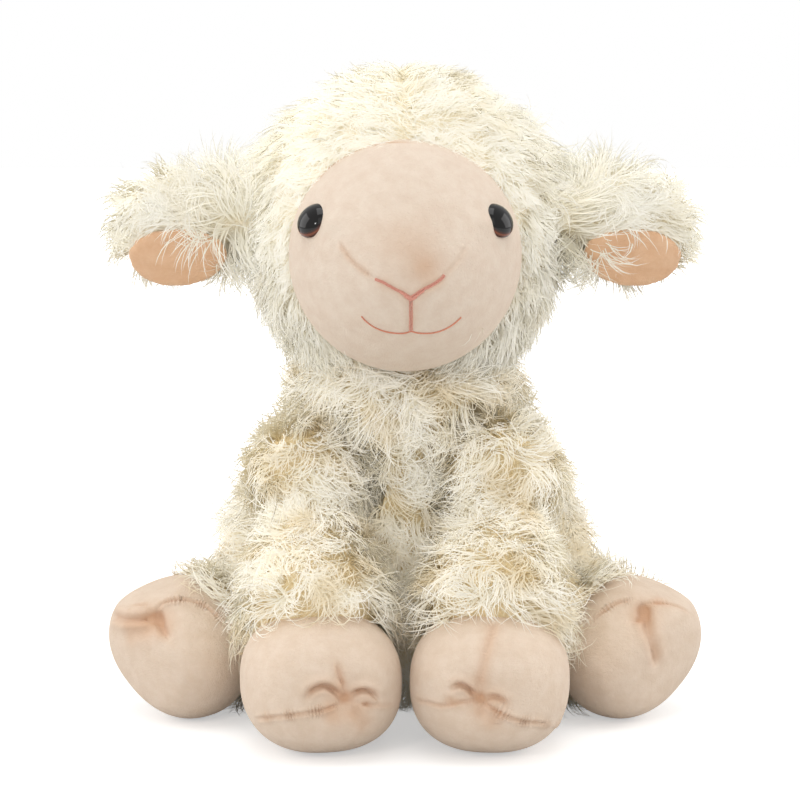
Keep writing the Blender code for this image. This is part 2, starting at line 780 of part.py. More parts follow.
def build_tail():
    """A short tail of folded fur that hangs from its root."""
    along = Vector((0, math.cos(TAIL_DROOP), -math.sin(TAIL_DROOP)))
    upright = Vector((0, math.sin(TAIL_DROOP), math.cos(TAIL_DROOP)))
    rings = []
    for far, width in TAIL_RING_SHARES:
        across = Vector((width * TAIL_HALF_WIDTH, 0, 0))
        centre = tail_pivot() + along * far * TAIL_LENGTH
        rings.append((centre, across, upright * width * TAIL_HALF_THICKNESS))
    return join(swelling("tail_cover", rings, CURLY_FUR), tail_ball("tail_root"))


# Assembly

front_rooms, hind_rooms, ear_rooms = {}, {}, []
for name, sign in SIDES.items():
    front_rooms[name] = front_sleeve(f"front_room_{name}", sign, inset=-JOINT_GAP)
    hind_rooms[name] = hind_sleeve(f"hind_room_{name}", sign, inset=-JOINT_GAP)
    ear_rooms.append(ear_ball(f"ear_room_{name}", sign, JOINT_GAP))

build_torso([*front_rooms.values(), *hind_rooms.values(), tail_ball("tail_room", JOINT_GAP)])

turn_axis = axis_empty("head_turn_axis", NECK_PIVOT)
carry(turn_axis, build_neck())
nod_axis = axis_empty("head_nod_axis", NECK_PIVOT, turn_axis)
carry(nod_axis, *build_head(ear_rooms))

for name, sign in SIDES.items():
    flap_axis = axis_empty(f"ear_flap_axis_{name}", ear_pivot(sign), nod_axis)
    carry(flap_axis, *build_ear(name, sign))

    front = build_leg(
        "front", name, sign, shoulder(sign), front_hoof_centre(sign),
        front_sleeve, front_hoof, front_sole_side, [],
    )
    carry(axis_empty(f"front_swing_axis_{name}", shoulder(sign)), *front)

    hind = build_leg(
        "hind", name, sign, hip(sign), hind_hoof_centre(sign),
        hind_sleeve, hind_hoof, hind_sole_side, [front_rooms[name]],
    )
    carry(axis_empty(f"hind_spread_axis_{name}", hip(sign)), *hind)

carry(axis_empty("tail_axis", tail_pivot()), build_tail())
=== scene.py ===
"""A seated plush lamb: curly fur over stuffed cloth, velboa face and hooves, safety eyes and embroidery."""

import math

import bmesh
import bpy
import numpy as np
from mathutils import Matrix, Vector, noise
from mathutils.bvhtree import BVHTree
from mathutils.kdtree import KDTree


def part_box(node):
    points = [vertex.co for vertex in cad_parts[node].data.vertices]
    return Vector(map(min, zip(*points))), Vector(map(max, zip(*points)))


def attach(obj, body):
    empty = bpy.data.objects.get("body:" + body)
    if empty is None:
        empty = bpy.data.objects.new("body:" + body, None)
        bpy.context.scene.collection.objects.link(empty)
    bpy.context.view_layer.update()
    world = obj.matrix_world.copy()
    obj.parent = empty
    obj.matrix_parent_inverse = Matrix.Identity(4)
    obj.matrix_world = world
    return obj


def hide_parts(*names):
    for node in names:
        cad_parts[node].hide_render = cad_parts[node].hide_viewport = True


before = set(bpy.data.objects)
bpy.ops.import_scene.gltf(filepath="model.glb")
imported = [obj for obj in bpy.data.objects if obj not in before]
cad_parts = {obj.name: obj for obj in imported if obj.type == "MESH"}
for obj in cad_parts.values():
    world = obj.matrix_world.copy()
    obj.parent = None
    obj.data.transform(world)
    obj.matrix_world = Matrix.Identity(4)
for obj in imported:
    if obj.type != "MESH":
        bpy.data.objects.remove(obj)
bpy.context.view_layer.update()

# ---------------------------------------------------------------------------------------------
# Body. A bag of knitted backing cloth, stuffed firm at the chest and sides and slack at the seat.
# Its curly pile is tufts of fine polyester fibre, 15 to 19 mm long and curled on themselves.
# ---------------------------------------------------------------------------------------------
CLOTH_VOXEL = 0.0035
PILE_SINK = 0.0054
MERGE = 1e-6


def choose(piece):
    bpy.ops.object.select_all(action="DESELECT")
    piece.select_set(True)
    bpy.context.view_layer.objects.active = piece


def new_piece(title, mesh):
    piece = bpy.data.objects.new(title, mesh)
    bpy.context.scene.collection.objects.link(piece)
    return piece


def shade_smooth(mesh):
    mesh.polygons.foreach_set("use_smooth", [True] * len(mesh.polygons))


def vectors_of(items, key):
    flat = np.empty(len(items) * 3)
    items.foreach_get(key, flat)
    return flat.reshape(-1, 3)


def places_of(piece):
    return vectors_of(piece.data.vertices, "co")


def normals_of(piece):
    return vectors_of(piece.data.vertex_normals, "vector")


def opened(piece):
    """A piece's mesh, open for changes of its corners and faces."""
    shape = bmesh.new()
    shape.from_mesh(piece.data)
    return shape


def finish_with(piece, kind, **settings):
    """Adds one modifier and applies it."""
    modifier = piece.modifiers.new(kind.title(), kind)
    for name, value in settings.items():
        setattr(modifier, name, value)
    choose(piece)
    bpy.ops.object.modifier_apply(modifier=modifier.name)


def sewn_copy(title, *nodes):
    """One merged copy of the CAD solids' meshes, with all their coincident corners joined."""
    shape = bmesh.new()
    for node in nodes:
        shape.from_mesh(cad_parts[node].data)
    bmesh.ops.remove_doubles(shape, verts=shape.verts, dist=MERGE)
    mesh = bpy.data.meshes.new(title)
    shape.to_mesh(mesh)
    shape.free()
    return new_piece(title, mesh)


def backing_cloth(title, nodes, sink=PILE_SINK, voxel=CLOTH_VOXEL):
    """The stuffed cloth under the pile: the solids as one soft form, drawn in by the depth of the pile."""
    cloth = sewn_copy(title, *nodes)
    finish_with(cloth, "REMESH", mode="VOXEL", voxel_size=voxel)
    keep_largest(cloth)
    finish_with(cloth, "SMOOTH", factor=0.5, iterations=8)
    finish_with(cloth, "DISPLACE", strength=-sink, mid_level=0)
    finish_with(cloth, "SMOOTH", factor=0.5, iterations=6)
    shade_smooth(cloth.data)
    return cloth


def keep_largest(piece):
    """Drops what the remesh leaves of inner gaps: only the largest connected shell stays."""
    shape = opened(piece)
    waiting = set(shape.verts)
    shells = []
    while waiting:
        shell = [waiting.pop()]
        for vert in shell:
            for edge in vert.link_edges:
                other = edge.other_vert(vert)
                if other in waiting:
                    waiting.remove(other)
                    shell.append(other)
        shells.append(shell)
    shells.sort(key=len)
    bmesh.ops.delete(shape, geom=[vert for shell in shells[:-1] for vert in shell], context="VERTS")
    shape.to_mesh(piece.data)
    shape.free()


def srgb(red, green, blue):
    """A colour as a chart gives it, 0 to 255, as the linear values that a shader reads."""
    linear = []
    for value in (red, green, blue):
        share = value / 255
        linear.append(share / 12.92 if share < 0.04 else ((share + 0.055) / 1.055) ** 2.4)
    return (*linear, 1.0)


class Finish:
    """A material in the making: its Principled shader and short ways to add and join nodes."""

    def __init__(self, title, colour, roughness):
        self.material = bpy.data.materials.new(title)
        self.material.use_nodes = True
        self.nodes = self.material.node_tree.nodes
        self.links = self.material.node_tree.links
        self.shader = self.nodes["Principled BSDF"]
        self.shader.inputs["Base Color"].default_value = colour
        self.shader.inputs["Roughness"].default_value = roughness
        self.place = self.add("ShaderNodeTexCoord").outputs["Object"]

    def add(self, kind, **settings):
        node = self.nodes.new(kind)
        for name, value in settings.items():
            setattr(node, name, value)
        return node

    def join(self, source, target):
        self.links.new(source, target)

    def noise(self, scale, detail=2, roughness=0.5, vector=None):
        node = self.add("ShaderNodeTexNoise")
        node.inputs["Scale"].default_value = scale
        node.inputs["Detail"].default_value = detail
        node.inputs["Roughness"].default_value = roughness
        self.join(vector or self.place, node.inputs["Vector"])
        return node.outputs["Fac"]

    def ramp(self, source, *stops):
        node = self.add("ShaderNodeValToRGB")
        while len(node.color_ramp.elements) < len(stops):
            node.color_ramp.elements.new(0.5)
        for element, (position, colour) in zip(node.color_ramp.elements, stops):
            element.position = position
            element.color = colour
        self.join(source, node.inputs["Fac"])
        return node.outputs["Color"]

    def spread(self, source, low, high, new_low, new_high):
        node = self.add("ShaderNodeMapRange")
        self.join(source, node.inputs["Value"])
        for name, value in (("From Min", low), ("From Max", high), ("To Min", new_low), ("To Max", new_high)):
            node.inputs[name].default_value = value
        return node.outputs["Result"]

    def mix(self, factor, first, second, blend="MIX"):
        node = self.add("ShaderNodeMix", data_type="RGBA", blend_type=blend)
        for value, name in ((factor, 0), (first, 6), (second, 7)):
            if isinstance(value, (int, float, tuple)):
                node.inputs[name].default_value = value
            else:
                self.join(value, node.inputs[name])
        return node.outputs[2]

    def math(self, operation, first, second):
        node = self.add("ShaderNodeMath", operation=operation)
        for value, socket in zip((first, second), node.inputs):
            if isinstance(value, (int, float)):
                socket.default_value = value
            else:
                self.join(value, socket)
        return node.outputs[0]

    def colour(self, source):
        self.join(source, self.shader.inputs["Base Color"])

    def bump(self, height, distance, strength=1.0):
        node = self.add("ShaderNodeBump")
        node.inputs["Strength"].default_value = strength
        node.inputs["Distance"].default_value = distance
        self.join(height, node.inputs["Height"])
        self.join(node.outputs["Normal"], self.shader.inputs["Normal"])

    def sheen(self, weight, roughness, tint):
        self.shader.inputs["Sheen Weight"].default_value = weight
        self.shader.inputs["Sheen Roughness"].default_value = roughness
        self.shader.inputs["Sheen Tint"].default_value = tint


def fibre_finish(title, root, middle, tip, spread, shade):
    """Pile fibre: khaki at the root, cream along it, paler at the tip, and no two fibres quite alike. The
    khaki at the root is painted shade deep in the pile. Soft patches of the pile, spread at random, are
    darkened towards the root's painted-shade colour."""
    finish = Finish(title, middle, 0.7)
    strand = finish.add("ShaderNodeUVMap", uv_map="strand")
    parts = finish.add("ShaderNodeSeparateXYZ")
    finish.join(strand.outputs["UV"], parts.inputs[0])
    # Painted shade: khaki at the root, paler towards the tip.
    along = finish.ramp(parts.outputs["X"], (0.0, root), (0.2, middle), (0.8, tip))
    # Random patches darkened with the root's painted shade.
    along = finish.mix(finish.spread(finish.noise(48, 1), 0.48, 0.70, 0, shade), along, root)
    patches = finish.spread(finish.noise(55, 2), 0.3, 0.7, 1 - spread, 1 + spread / 2)
    single = finish.spread(parts.outputs["Y"], 0, 1, 1 - spread, 1 + spread)
    level = finish.math("MULTIPLY", patches, single)
    tone = finish.add("ShaderNodeHueSaturation")
    finish.join(along, tone.inputs["Color"])
    finish.join(level, tone.inputs["Value"])
    finish.colour(tone.outputs["Color"])
    finish.shader.inputs["Specular IOR Level"].default_value = 0.25
    finish.sheen(0.25, 0.5, srgb(255, 246, 226))
    return finish.material


# The root's khaki is painted shade deep in the pile.
BODY_FIBRE = fibre_finish(
    "curly pile", srgb(228, 206, 156), srgb(248, 240, 216), srgb(254, 251, 241), spread=0.04, shade=0.5
)


def backing_finish(title, dark, light):
    finish = Finish(title, light, 0.95)
    finish.colour(finish.ramp(finish.noise(900, 3), (0.3, dark), (0.7, light)))
    finish.bump(finish.noise(1400, 2), 0.0006)
    return finish.material


# The backing's khaki is painted shade for the gaps between the tufts, mottled at random like a knit.
BACKING = backing_finish("knitted backing cloth", srgb(224, 202, 156), srgb(238, 222, 184))


def tree_of(piece):
    shape = opened(piece)
    tree = BVHTree.FromBMesh(shape)
    shape.free()
    return tree


def solid_form(*nodes):
    """A search tree over the outer skin of some CAD solids taken as one, to keep the pile clear of them."""
    solid = sewn_copy("solid_form", *nodes)
    finish_with(solid, "REMESH", mode="VOXEL", voxel_size=CLOTH_VOXEL)
    keep_largest(solid)
    tree = tree_of(solid)
    bpy.data.objects.remove(solid)
    return tree


FORM_REACH = 0.04
TOUCHING = 1e-7


def gaps_to(tree, points):
    return np.array([tree.find_nearest(Vector(point))[3] for point in points])


def clear_of(trees, points, margin):
    """Which points lie further out of every form than the margin. A margin below 0 lets them sink in."""
    clear = np.ones(len(points), bool)
    for index, point in enumerate(points):
        place = Vector(point)
        for tree in trees:
            spot, facing, _, gap = tree.find_nearest(place, FORM_REACH)
            if spot is not None and gap > TOUCHING and (place - spot).dot(facing) < margin:
                clear[index] = False
                break
    return clear


TRIES = 4


def tuft_roots(cloth, spacing, rng, neighbours=(), proud=0.006, margin=-0.002):
    """Places and normals spread over the cloth, none nearer to another than the spacing allows.
    Where the pile would stand inside a neighbour's form there is none."""
    mesh = cloth.data
    mesh.calc_loop_triangles()
    corners = np.empty(len(mesh.loop_triangles) * 3, dtype=np.int32)
    mesh.loop_triangles.foreach_get("vertices", corners)
    corners = corners.reshape(-1, 3)
    places = places_of(cloth)
    outward = normals_of(cloth)
    first, second, third = (places[corners[:, side]] for side in range(3))
    areas = np.linalg.norm(np.cross(second - first, third - first), axis=1) / 2
    count = int(TRIES * areas.sum() / spacing**2)
    chosen = corners[rng.choice(len(areas), size=count, p=areas / areas.sum())]
    shares = rng.dirichlet((1, 1, 1), count)
    points = np.einsum("ij,ijk->ik", shares, places[chosen])
    normals = np.einsum("ij,ijk->ik", shares, outward[chosen])
    normals /= np.linalg.norm(normals, axis=1, keepdims=True)
    if neighbours:
        free = clear_of(neighbours, points + proud * normals, margin)
        points, normals = points[free], normals[free]
    tree = KDTree(len(points))
    for index, point in enumerate(points):
        tree.insert(point, index)
    tree.balance()
    crowded = np.zeros(len(points), bool)
    kept = []
    for index, point in enumerate(points):
        if crowded[index]:
            continue
        kept.append(index)
        for _, other, _ in tree.find_range(point, 0.8 * spacing):
            crowded[other] = True
    return points[kept], normals[kept]


# Blender's noise takes its seed from the clock unless it is given one.
NOISE_SEED = 1


def drift(points, size, seed):
    """A smooth wandering direction at each point, with swirls of about that size."""
    noise.seed_set(NOISE_SEED)
    shift = Vector((seed * 7.3, seed * 3.1, seed * 5.7))
    return np.array([noise.noise_vector(Vector(point) / size + shift) for point in points])


def unit(vectors):
    return vectors / np.maximum(np.linalg.norm(vectors, axis=-1, keepdims=True), 1e-9)


def bell(gap, width):
    """1 where the gap is 0, and next to nothing where it is more than twice the width."""
    return np.exp(-((gap / width) ** 2))


def outward_at(points, rise):
    """The way out to each point's own side of the toy."""
    across = np.sign(points[:, 0])
    return np.stack([across, 0 * across, np.full(len(points), rise)], 1)


# A fibre is a ribbon of so many segments, with its width at the start of each as a share.
SEGMENTS = 6
RIBBON_WIDTHS = np.array([0.75, 1.0, 1.0, 0.9, 0.75, 0.5])
# No piece holds more fibres than this, and none reaches lower than the gap above the floor.
PIECE_FIBRES = 17500
FLOOR_GAP = 0.0003
# The share of a normal that the cloth gives, and how far it still has to face the ribbon's front.
SOFTNESS = 0.9
FRONT_LEAST = 0.06
# The share of the fibres that cast no shadow.
SHEER_SHARE = 0.93


def ribbon_mesh(title, path, side, up, width, tone, material):
    """All fibres as one mesh: each a tapered ribbon that faces outward and ends in a point. It is shaded
    mostly as the cloth under it, so that the pile looks soft. Its map "strand" runs from root to tip
    along U; "OFBake" gives each fibre its own cell."""
    count = len(path)
    profile = width[:, None] / 2 * RIBBON_WIDTHS[None, :]
    reach = side * profile[..., None]
    left = path[:, :SEGMENTS] - reach
    right = path[:, :SEGMENTS] + reach
    verts = np.concatenate([np.stack([left, right], 2).reshape(count, -1, 3), path[:, SEGMENTS:]], 1)
    per_fibre = 2 * SEGMENTS + 1
    loops, along, across = [], [], []
    for step in range(SEGMENTS - 1):
        base = 2 * step
        loops += [base, base + 1, base + 3, base + 2]
        along += [step, step, step + 1, step + 1]
        across += [0, 1, 1, 0]
    loops += [2 * SEGMENTS - 2, 2 * SEGMENTS - 1, 2 * SEGMENTS]
    along += [SEGMENTS - 1, SEGMENTS - 1, SEGMENTS]
    across += [0, 1, 0.5]
    along = np.array(along) / SEGMENTS
    across = np.array(across)
    corners = (np.arange(count)[:, None] * per_fibre + np.array(loops)[None, :]).ravel()
    starts = np.append(np.arange(0, 4 * (SEGMENTS - 1), 4), 4 * (SEGMENTS - 1))
    starts = (np.arange(count)[:, None] * len(loops) + starts[None, :]).ravel()
    mesh = bpy.data.meshes.new(title)
    mesh.vertices.add(count * per_fibre)
    mesh.vertices.foreach_set("co", verts.astype(np.float32).ravel())
    mesh.loops.add(len(corners))
    mesh.loops.foreach_set("vertex_index", corners.astype(np.int32))
    mesh.polygons.add(len(starts))
    mesh.polygons.foreach_set("loop_start", starts.astype(np.int32))
    mesh.update(calc_edges=True)
    mesh.polygons.foreach_set("use_smooth", np.ones(len(starts), bool))
    own = unit(np.cross(side, path[:, 1:] - path[:, :SEGMENTS]))
    soft = unit(SOFTNESS * up + (1 - SOFTNESS) * own)
    behind = np.minimum((soft * own).sum(-1, keepdims=True) - FRONT_LEAST, 0)
    soft = unit(soft - behind * own)
    soft = np.concatenate([np.repeat(soft, 2, 1), soft[:, -1:]], 1)
    mesh.normals_split_custom_set_from_vertices(soft.reshape(-1, 3).astype(np.float32))
    strand = np.stack([np.tile(along, count), np.repeat(tone, len(loops))], 1)
    mesh.uv_layers.new(name="strand").data.foreach_set("uv", strand.astype(np.float32).ravel())
    columns = max(1, int(math.sqrt(count / 16)))
    rows = math.ceil(count / columns)
    cell = np.arange(count)
    u = (cell % columns)[:, None] + 0.03 + 0.94 * along[None, :]
    v = (cell // columns)[:, None] + 0.2 + 0.6 * across[None, :]
    atlas = np.stack([u / columns, v / rows], 2)
    mesh.uv_layers.new(name="OFBake").data.foreach_set("uv", atlas.astype(np.float32).ravel())
    mesh.uv_layers.active = mesh.uv_layers["strand"]
    mesh.uv_layers["strand"].active_render = True
    mesh.materials.append(material)
    return new_piece(title, mesh)


def pile(title, points, normals, lean, rng, hard=(), material=BODY_FIBRE, length=(0.015, 0.019),
         rise=(50, 80), settle=(-14, 12), turn=(60, 180), fibres=20, radius=0.0042, gather=0.3,
         thickness=0.00046, strays=0.05, scale=None, sink=0.001, wander=0.8):
    """Grows the tufts. Each leans along `lean`, rises from the cloth, curls to one side and settles
    at the pile's surface. Fibres of one tuft run side by side, apart from a few strays. No fibre ends
    inside a `hard` form. Polyester is sheer: most fibres cast no shadow, as pieces of their own."""
    tufts = len(points)
    ahead = unit(lean - (lean * normals).sum(1, keepdims=True) * normals)
    across = np.cross(normals, ahead)
    size = rng.uniform(*length, tufts) * (1 if scale is None else scale)
    curl = np.radians(rng.uniform(*turn, tufts)) * rng.choice((-1, 1), tufts)
    heading = -curl / 2 + rng.normal(0, wander, tufts)
    climb = np.radians(rng.uniform(*rise, tufts))
    level = np.radians(rng.uniform(*settle, tufts))
    tuft_tone = rng.random(tufts)
    owner = np.repeat(np.arange(tufts), fibres)
    total = len(owner)
    stray = rng.random(total) < strays
    spoke = radius * np.sqrt(rng.random(total))
    around = 2 * math.pi * rng.random(total)
    offset = np.cos(around)[:, None] * ahead[owner] + np.sin(around)[:, None] * across[owner]
    offset *= spoke[:, None]
    long = size[owner] * np.clip(rng.normal(1, 0.13, total), 0.6, 1.35)
    middle = (np.arange(SEGMENTS) + 0.5) / SEGMENTS
    curl = curl[owner] * np.where(stray, rng.uniform(0.2, 1.3, total), rng.normal(1, 0.22, total))
    heading = heading[owner] + rng.normal(0, 0.24, total) + np.where(stray, rng.normal(0, 0.7, total), 0)
    turned = heading[:, None] + curl[:, None] * middle[None, :]
    level = level[owner] + rng.normal(0, 0.12, total) + np.where(stray, rng.uniform(0.1, 0.5, total), 0)
    climb = climb[owner] + rng.normal(0, 0.16, total)
    slope = climb[:, None] + (level - climb)[:, None] * middle[None, :] ** 0.8
    flat = np.cos(turned)[..., None] * ahead[owner][:, None]
    flat += np.sin(turned)[..., None] * across[owner][:, None]
    up = normals[owner][:, None]
    step = np.cos(slope)[..., None] * flat + np.sin(slope)[..., None] * up
    walked = np.cumsum(step * (long / SEGMENTS)[:, None, None], 1)
    share = np.arange(SEGMENTS + 1) / SEGMENTS
    path = np.concatenate([np.zeros((total, 1, 3)), walked], 1)
    path += (points[owner] - sink * normals[owner])[:, None]
    path += offset[:, None] * (1 - gather * share)[None, :, None]
    path[..., 2] = np.maximum(path[..., 2], FLOOR_GAP)
    if hard:
        free = clear_of(hard, path[:, SEGMENTS // 2], 0.0002) & clear_of(hard, path[:, -1], 0.0002)
        path, step, up, owner, total = path[free], step[free], up[free], owner[free], int(free.sum())
    tilt = rng.normal(0, 0.45, total)
    side = unit(np.cross(step, up))
    side = np.cos(tilt)[:, None, None] * side + np.sin(tilt)[:, None, None] * np.cross(side, step)
    tone = np.clip(0.6 * tuft_tone[owner] + 0.4 * rng.random(total), 0, 1)
    width = thickness * rng.uniform(0.7, 1.25, total)
    from_middle = path[:, 0] - path[:, 0].mean(0)
    around = np.argsort(np.arctan2(from_middle[:, 1], from_middle[:, 0]))
    sheer = rng.random(total) < SHEER_SHARE
    pieces = []
    for fluff in (False, True):
        group = around[sheer[around] == fluff]
        for chosen in np.array_split(group, math.ceil(len(group) / PIECE_FIBRES)):
            name = f"{title}_{len(pieces) + 1}"
            fibres_of = (array[chosen] for array in (path, side, up, width, tone))
            part = ribbon_mesh(name, *fibres_of, material)
            part.visible_shadow = not fluff
            pieces.append(part)
    return pieces


BODY_TUFT_SPACING = 0.0043
LOWEST_ROOT = 0.009
COLLAR_HEIGHT, COLLAR_SPREAD = 0.140, 0.022
FLANK_HEIGHT, FLANK_SPREAD = 0.062, 0.024
DOWN = np.array([0.0, 0.0, -1.0])

body_rng = np.random.default_rng(11)
body_cloth = backing_cloth("body_cloth", ("body_cover", "body_filling", "pellet_bag"))
body_cloth.data.materials.append(BACKING)
LEG_PARTS = ("sleeve", "filling", "hoof", "sole")
leg_forms = [
    solid_form(*(f"{limb}_{part}_{side}" for part in LEG_PARTS))
    for limb in ("front", "hind")
    for side in ("left", "right")
]
face_form = solid_form("face_panel", "head_filling")
body_form = solid_form("body_cover", "body_filling", "pellet_bag")
head_form = solid_form("head_cover", "head_filling", "face_panel")
body_neighbours = [head_form, solid_form("tail_cover"), *leg_forms]
points, normals = tuft_roots(body_cloth, BODY_TUFT_SPACING, body_rng, body_neighbours, margin=-0.005)
above_floor = points[:, 2] > LOWEST_ROOT
points, normals = points[above_floor], normals[above_floor]
collar = bell(points[:, 2] - COLLAR_HEIGHT, COLLAR_SPREAD)
flank = bell(points[:, 2] - FLANK_HEIGHT, FLANK_SPREAD) * np.clip(np.abs(points[:, 0]) / 0.05, 0, 1) ** 2
lean = 0.6 * DOWN + 1.8 * drift(points, 0.017, 1) + flank[:, None] * outward_at(points, -0.3)
body_pile = pile(
    "body_pile", points, normals, lean, body_rng, hard=[face_form], scale=1 + 0.45 * collar + 0.5 * flank,
)
for piece in (body_cloth, *body_pile):
    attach(piece, "body")
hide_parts("body_cover", "body_filling", "pellet_bag")

# ---------------------------------------------------------------------------------------------
# Neck. A firm ball of polyester filling between body and head. The hood's and the body's pile
# meet over it, so that only its backing cloth could ever show.
# ---------------------------------------------------------------------------------------------
neck_pad = sewn_copy("neck_pad", "neck_filling")
finish_with(neck_pad, "REMESH", mode="VOXEL", voxel_size=CLOTH_VOXEL)
finish_with(neck_pad, "SMOOTH", factor=0.5, iterations=6)
shade_smooth(neck_pad.data)
neck_pad.data.materials.append(BACKING)
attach(neck_pad, "neck")
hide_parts("neck_filling")

# ---------------------------------------------------------------------------------------------
# Head. A hood of the same plush, smoother than the body and painted paler, as painted light on the top
# of the toy. It is sewn round the face. At the seam its pile is combed along the edge, and round the
# ears and jowls it stands out longer.
# ---------------------------------------------------------------------------------------------
HEAD_TUFT_SPACING = 0.0041
FACE_CENTRE = np.array([0.0, -0.038, 0.194])
EDGE_START, EDGE_REACH = 0.004, 0.012
EAR_ROOT, EAR_ROOT_SPREAD = (0.058, 0.0, 0.230), 0.021
BELOW_EAR, BELOW_EAR_SPREAD = (0.062, -0.006, 0.186), 0.017
JOWL_HEIGHT, JOWL_SPREAD = 0.166, 0.020

# Paler copy of the body's pile: painted light on the top of the toy.
HEAD_FIBRE = fibre_finish(
    "head pile with painted light", srgb(242, 231, 202), srgb(250, 245, 226), srgb(254, 252, 243), spread=0.02, shade=0.25
)

head_rng = np.random.default_rng(12)
head_cloth = backing_cloth("head_cloth", ("head_cover", "head_filling"))
# Paler copy of the body's backing: less painted shade between the head's tufts.
HEAD_BACKING = backing_finish("head backing cloth painted paler", srgb(238, 226, 196), srgb(248, 240, 218))
head_cloth.data.materials.append(HEAD_BACKING)
ear_forms = [solid_form(f"ear_outer_{side}") for side in ("left", "right")]
head_neighbours = [body_form, *ear_forms]
points, normals = tuft_roots(head_cloth, HEAD_TUFT_SPACING, head_rng, head_neighbours)
edge_pull = np.clip(1 - (gaps_to(face_form, points) - EDGE_START) / EDGE_REACH, 0, 1)[:, None]
round_face = unit(np.cross(normals, unit(FACE_CENTRE - points)))
round_face *= np.where(points[:, :1] * round_face[:, 2:] > 0, -1, 1) * np.sign(points[:, :1])
loose = 0.5 * DOWN + 1.9 * drift(points, 0.022, 2)
outward = outward_at(points, 0.1)
by_ear = bell(np.linalg.norm(np.abs(points) - EAR_ROOT, axis=1), EAR_ROOT_SPREAD)
below_ear = bell(np.linalg.norm(np.abs(points) - BELOW_EAR, axis=1), BELOW_EAR_SPREAD)
jowl = bell(points[:, 2] - JOWL_HEIGHT, JOWL_SPREAD) * np.clip(np.abs(points[:, 0]) / 0.04, 0, 1)
loose += 3.5 * by_ear[:, None] * outward + 2.5 * below_ear[:, None] * (outward + 0.8 * DOWN)
head_pile = pile(
    "head_pile", points, normals, loose * (1 - edge_pull) + round_face * 2.0 * edge_pull, head_rng,
    hard=[face_form], material=HEAD_FIBRE, length=(0.0135, 0.0175), turn=(50, 150), rise=(50, 78),
    settle=(-6, 12), fibres=24, thickness=0.00036, wander=0.5,
    scale=1 - 0.3 * edge_pull[:, 0] + 1.2 * by_ear + 0.5 * np.maximum(jowl, below_ear),
)
for piece in (head_cloth, *head_pile):
    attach(piece, "head")
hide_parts("head_cover", "head_filling")

# ---------------------------------------------------------------------------------------------
# Face. One ball of short-pile velboa, its muzzle drawn forward by the stuffing. Gusset seams run
# from the corners of the nose out under the eyes, and the edge of the hood creases it above them.
# Painted shade darkens the seams and creases, and the hood's shadow is painted along its edge.
# ---------------------------------------------------------------------------------------------
FACE_HALF = (0.0475, 0.050, 0.0475)
MUZZLE_PULL = 0.006
MUZZLE_SPREAD = 0.026
MUZZLE_HEIGHT = 0.184
CAMERA_DISTANCE = 1.2
CAMERA_TILT = math.radians(9)
CAMERA_AIM = Vector((-0.0021, 0, 0.128))
CAMERA_PLACE = CAMERA_AIM + CAMERA_DISTANCE * Vector((0, -math.cos(CAMERA_TILT), math.sin(CAMERA_TILT)))
PICTURE_MIDDLE = 400
PIXEL = 0.000425


def stuffed_ball(title, centre, half_sizes, detail, turns=(0, 0, 0), fullness=2.0):
    """A fine ball at its size and place, as a start for a stuffed form. A fullness above 2 fills out
    its corners, as in a pad that is stuffed tight."""
    bpy.ops.object.select_all(action="DESELECT")
    bpy.ops.mesh.primitive_ico_sphere_add(subdivisions=detail, radius=1)
    piece = bpy.context.object
    piece.name = title
    places = places_of(piece)
    places /= (np.abs(places) ** fullness).sum(1, keepdims=True) ** (1 / fullness)
    put_places(piece, places)
    piece.scale = half_sizes
    piece.rotation_euler = turns
    piece.location = centre
    bpy.ops.object.transform_apply(location=True, rotation=True, scale=True)
    bpy.ops.object.shade_smooth()
    return piece


def put_places(piece, places):
    piece.data.vertices.foreach_set("co", np.ascontiguousarray(places).ravel())
    piece.data.update()


def seen_at(tree, x, y):
    """The point of a form, and its normal, that the camera sees at a pixel of the 800-pixel picture.
    Beside the form it is the form's point nearest to that line of sight."""
    up = Vector((0, math.sin(CAMERA_TILT), math.cos(CAMERA_TILT)))
    aim = CAMERA_AIM + Vector(((x - PICTURE_MIDDLE) * PIXEL, 0, 0)) + up * (PICTURE_MIDDLE - y) * PIXEL
    ray = (aim - CAMERA_PLACE).normalized()
    spot, normal, _, _ = tree.ray_cast(CAMERA_PLACE, ray)
    if spot is None:
        stations = [CAMERA_PLACE + (1.0 + 0.002 * step) * ray for step in range(150)]
        spot, normal, _, _ = min((tree.find_nearest(station) for station in stations), key=lambda hit: hit[3])
    return spot, normal


def drawn_line(tree, pixels, rounds=2):
    """A line of pixels put on a form, with its corners rounded off."""
    line = [np.array(seen_at(tree, x, y)[0]) for x, y in pixels]
    for _ in range(rounds):
        finer = [line[0]]
        for first, second in zip(line, line[1:]):
            finer += [0.75 * first + 0.25 * second, 0.25 * first + 0.75 * second]
        line = [*finer, line[-1]]
    return np.array(line)


def beside(places, line):
    """How far each place is from a line, and how far along the line that is, in metres."""
    gap = np.full(len(places), 1.0)
    along = np.zeros(len(places))
    walked = 0
    for start, end in zip(line[:-1], line[1:]):
        span = end - start
        length = np.linalg.norm(span)
        share = np.clip((places - start) @ span / length**2, 0, 1)
        away = np.linalg.norm(places - start - share[:, None] * span, axis=1)
        nearer = away < gap
        gap[nearer] = away[nearer]
        along[nearer] = walked + share[nearer] * length
        walked += length
    return gap, along, walked


FINEST = 0.00045


def refine(piece, line, reach):
    """Divides the edges near a line, so that a fine seam or pleat has points to shape it."""
    shape = opened(piece)
    shape.edges.ensure_lookup_table()
    middles = np.array([(edge.verts[0].co + edge.verts[1].co) / 2 for edge in shape.edges])
    gap = beside(middles, line)[0]
    long = np.array([edge.calc_length() for edge in shape.edges]) > FINEST
    near = [shape.edges[index] for index in np.flatnonzero((gap < reach) & long)]
    bmesh.ops.subdivide_edges(shape, edges=near, cuts=1, use_grid_fill=True)
    bmesh.ops.triangulate(shape, faces=[face for face in shape.faces if len(face.verts) > 3])
    shape.to_mesh(piece.data)
    shape.free()
    shade_smooth(piece.data)


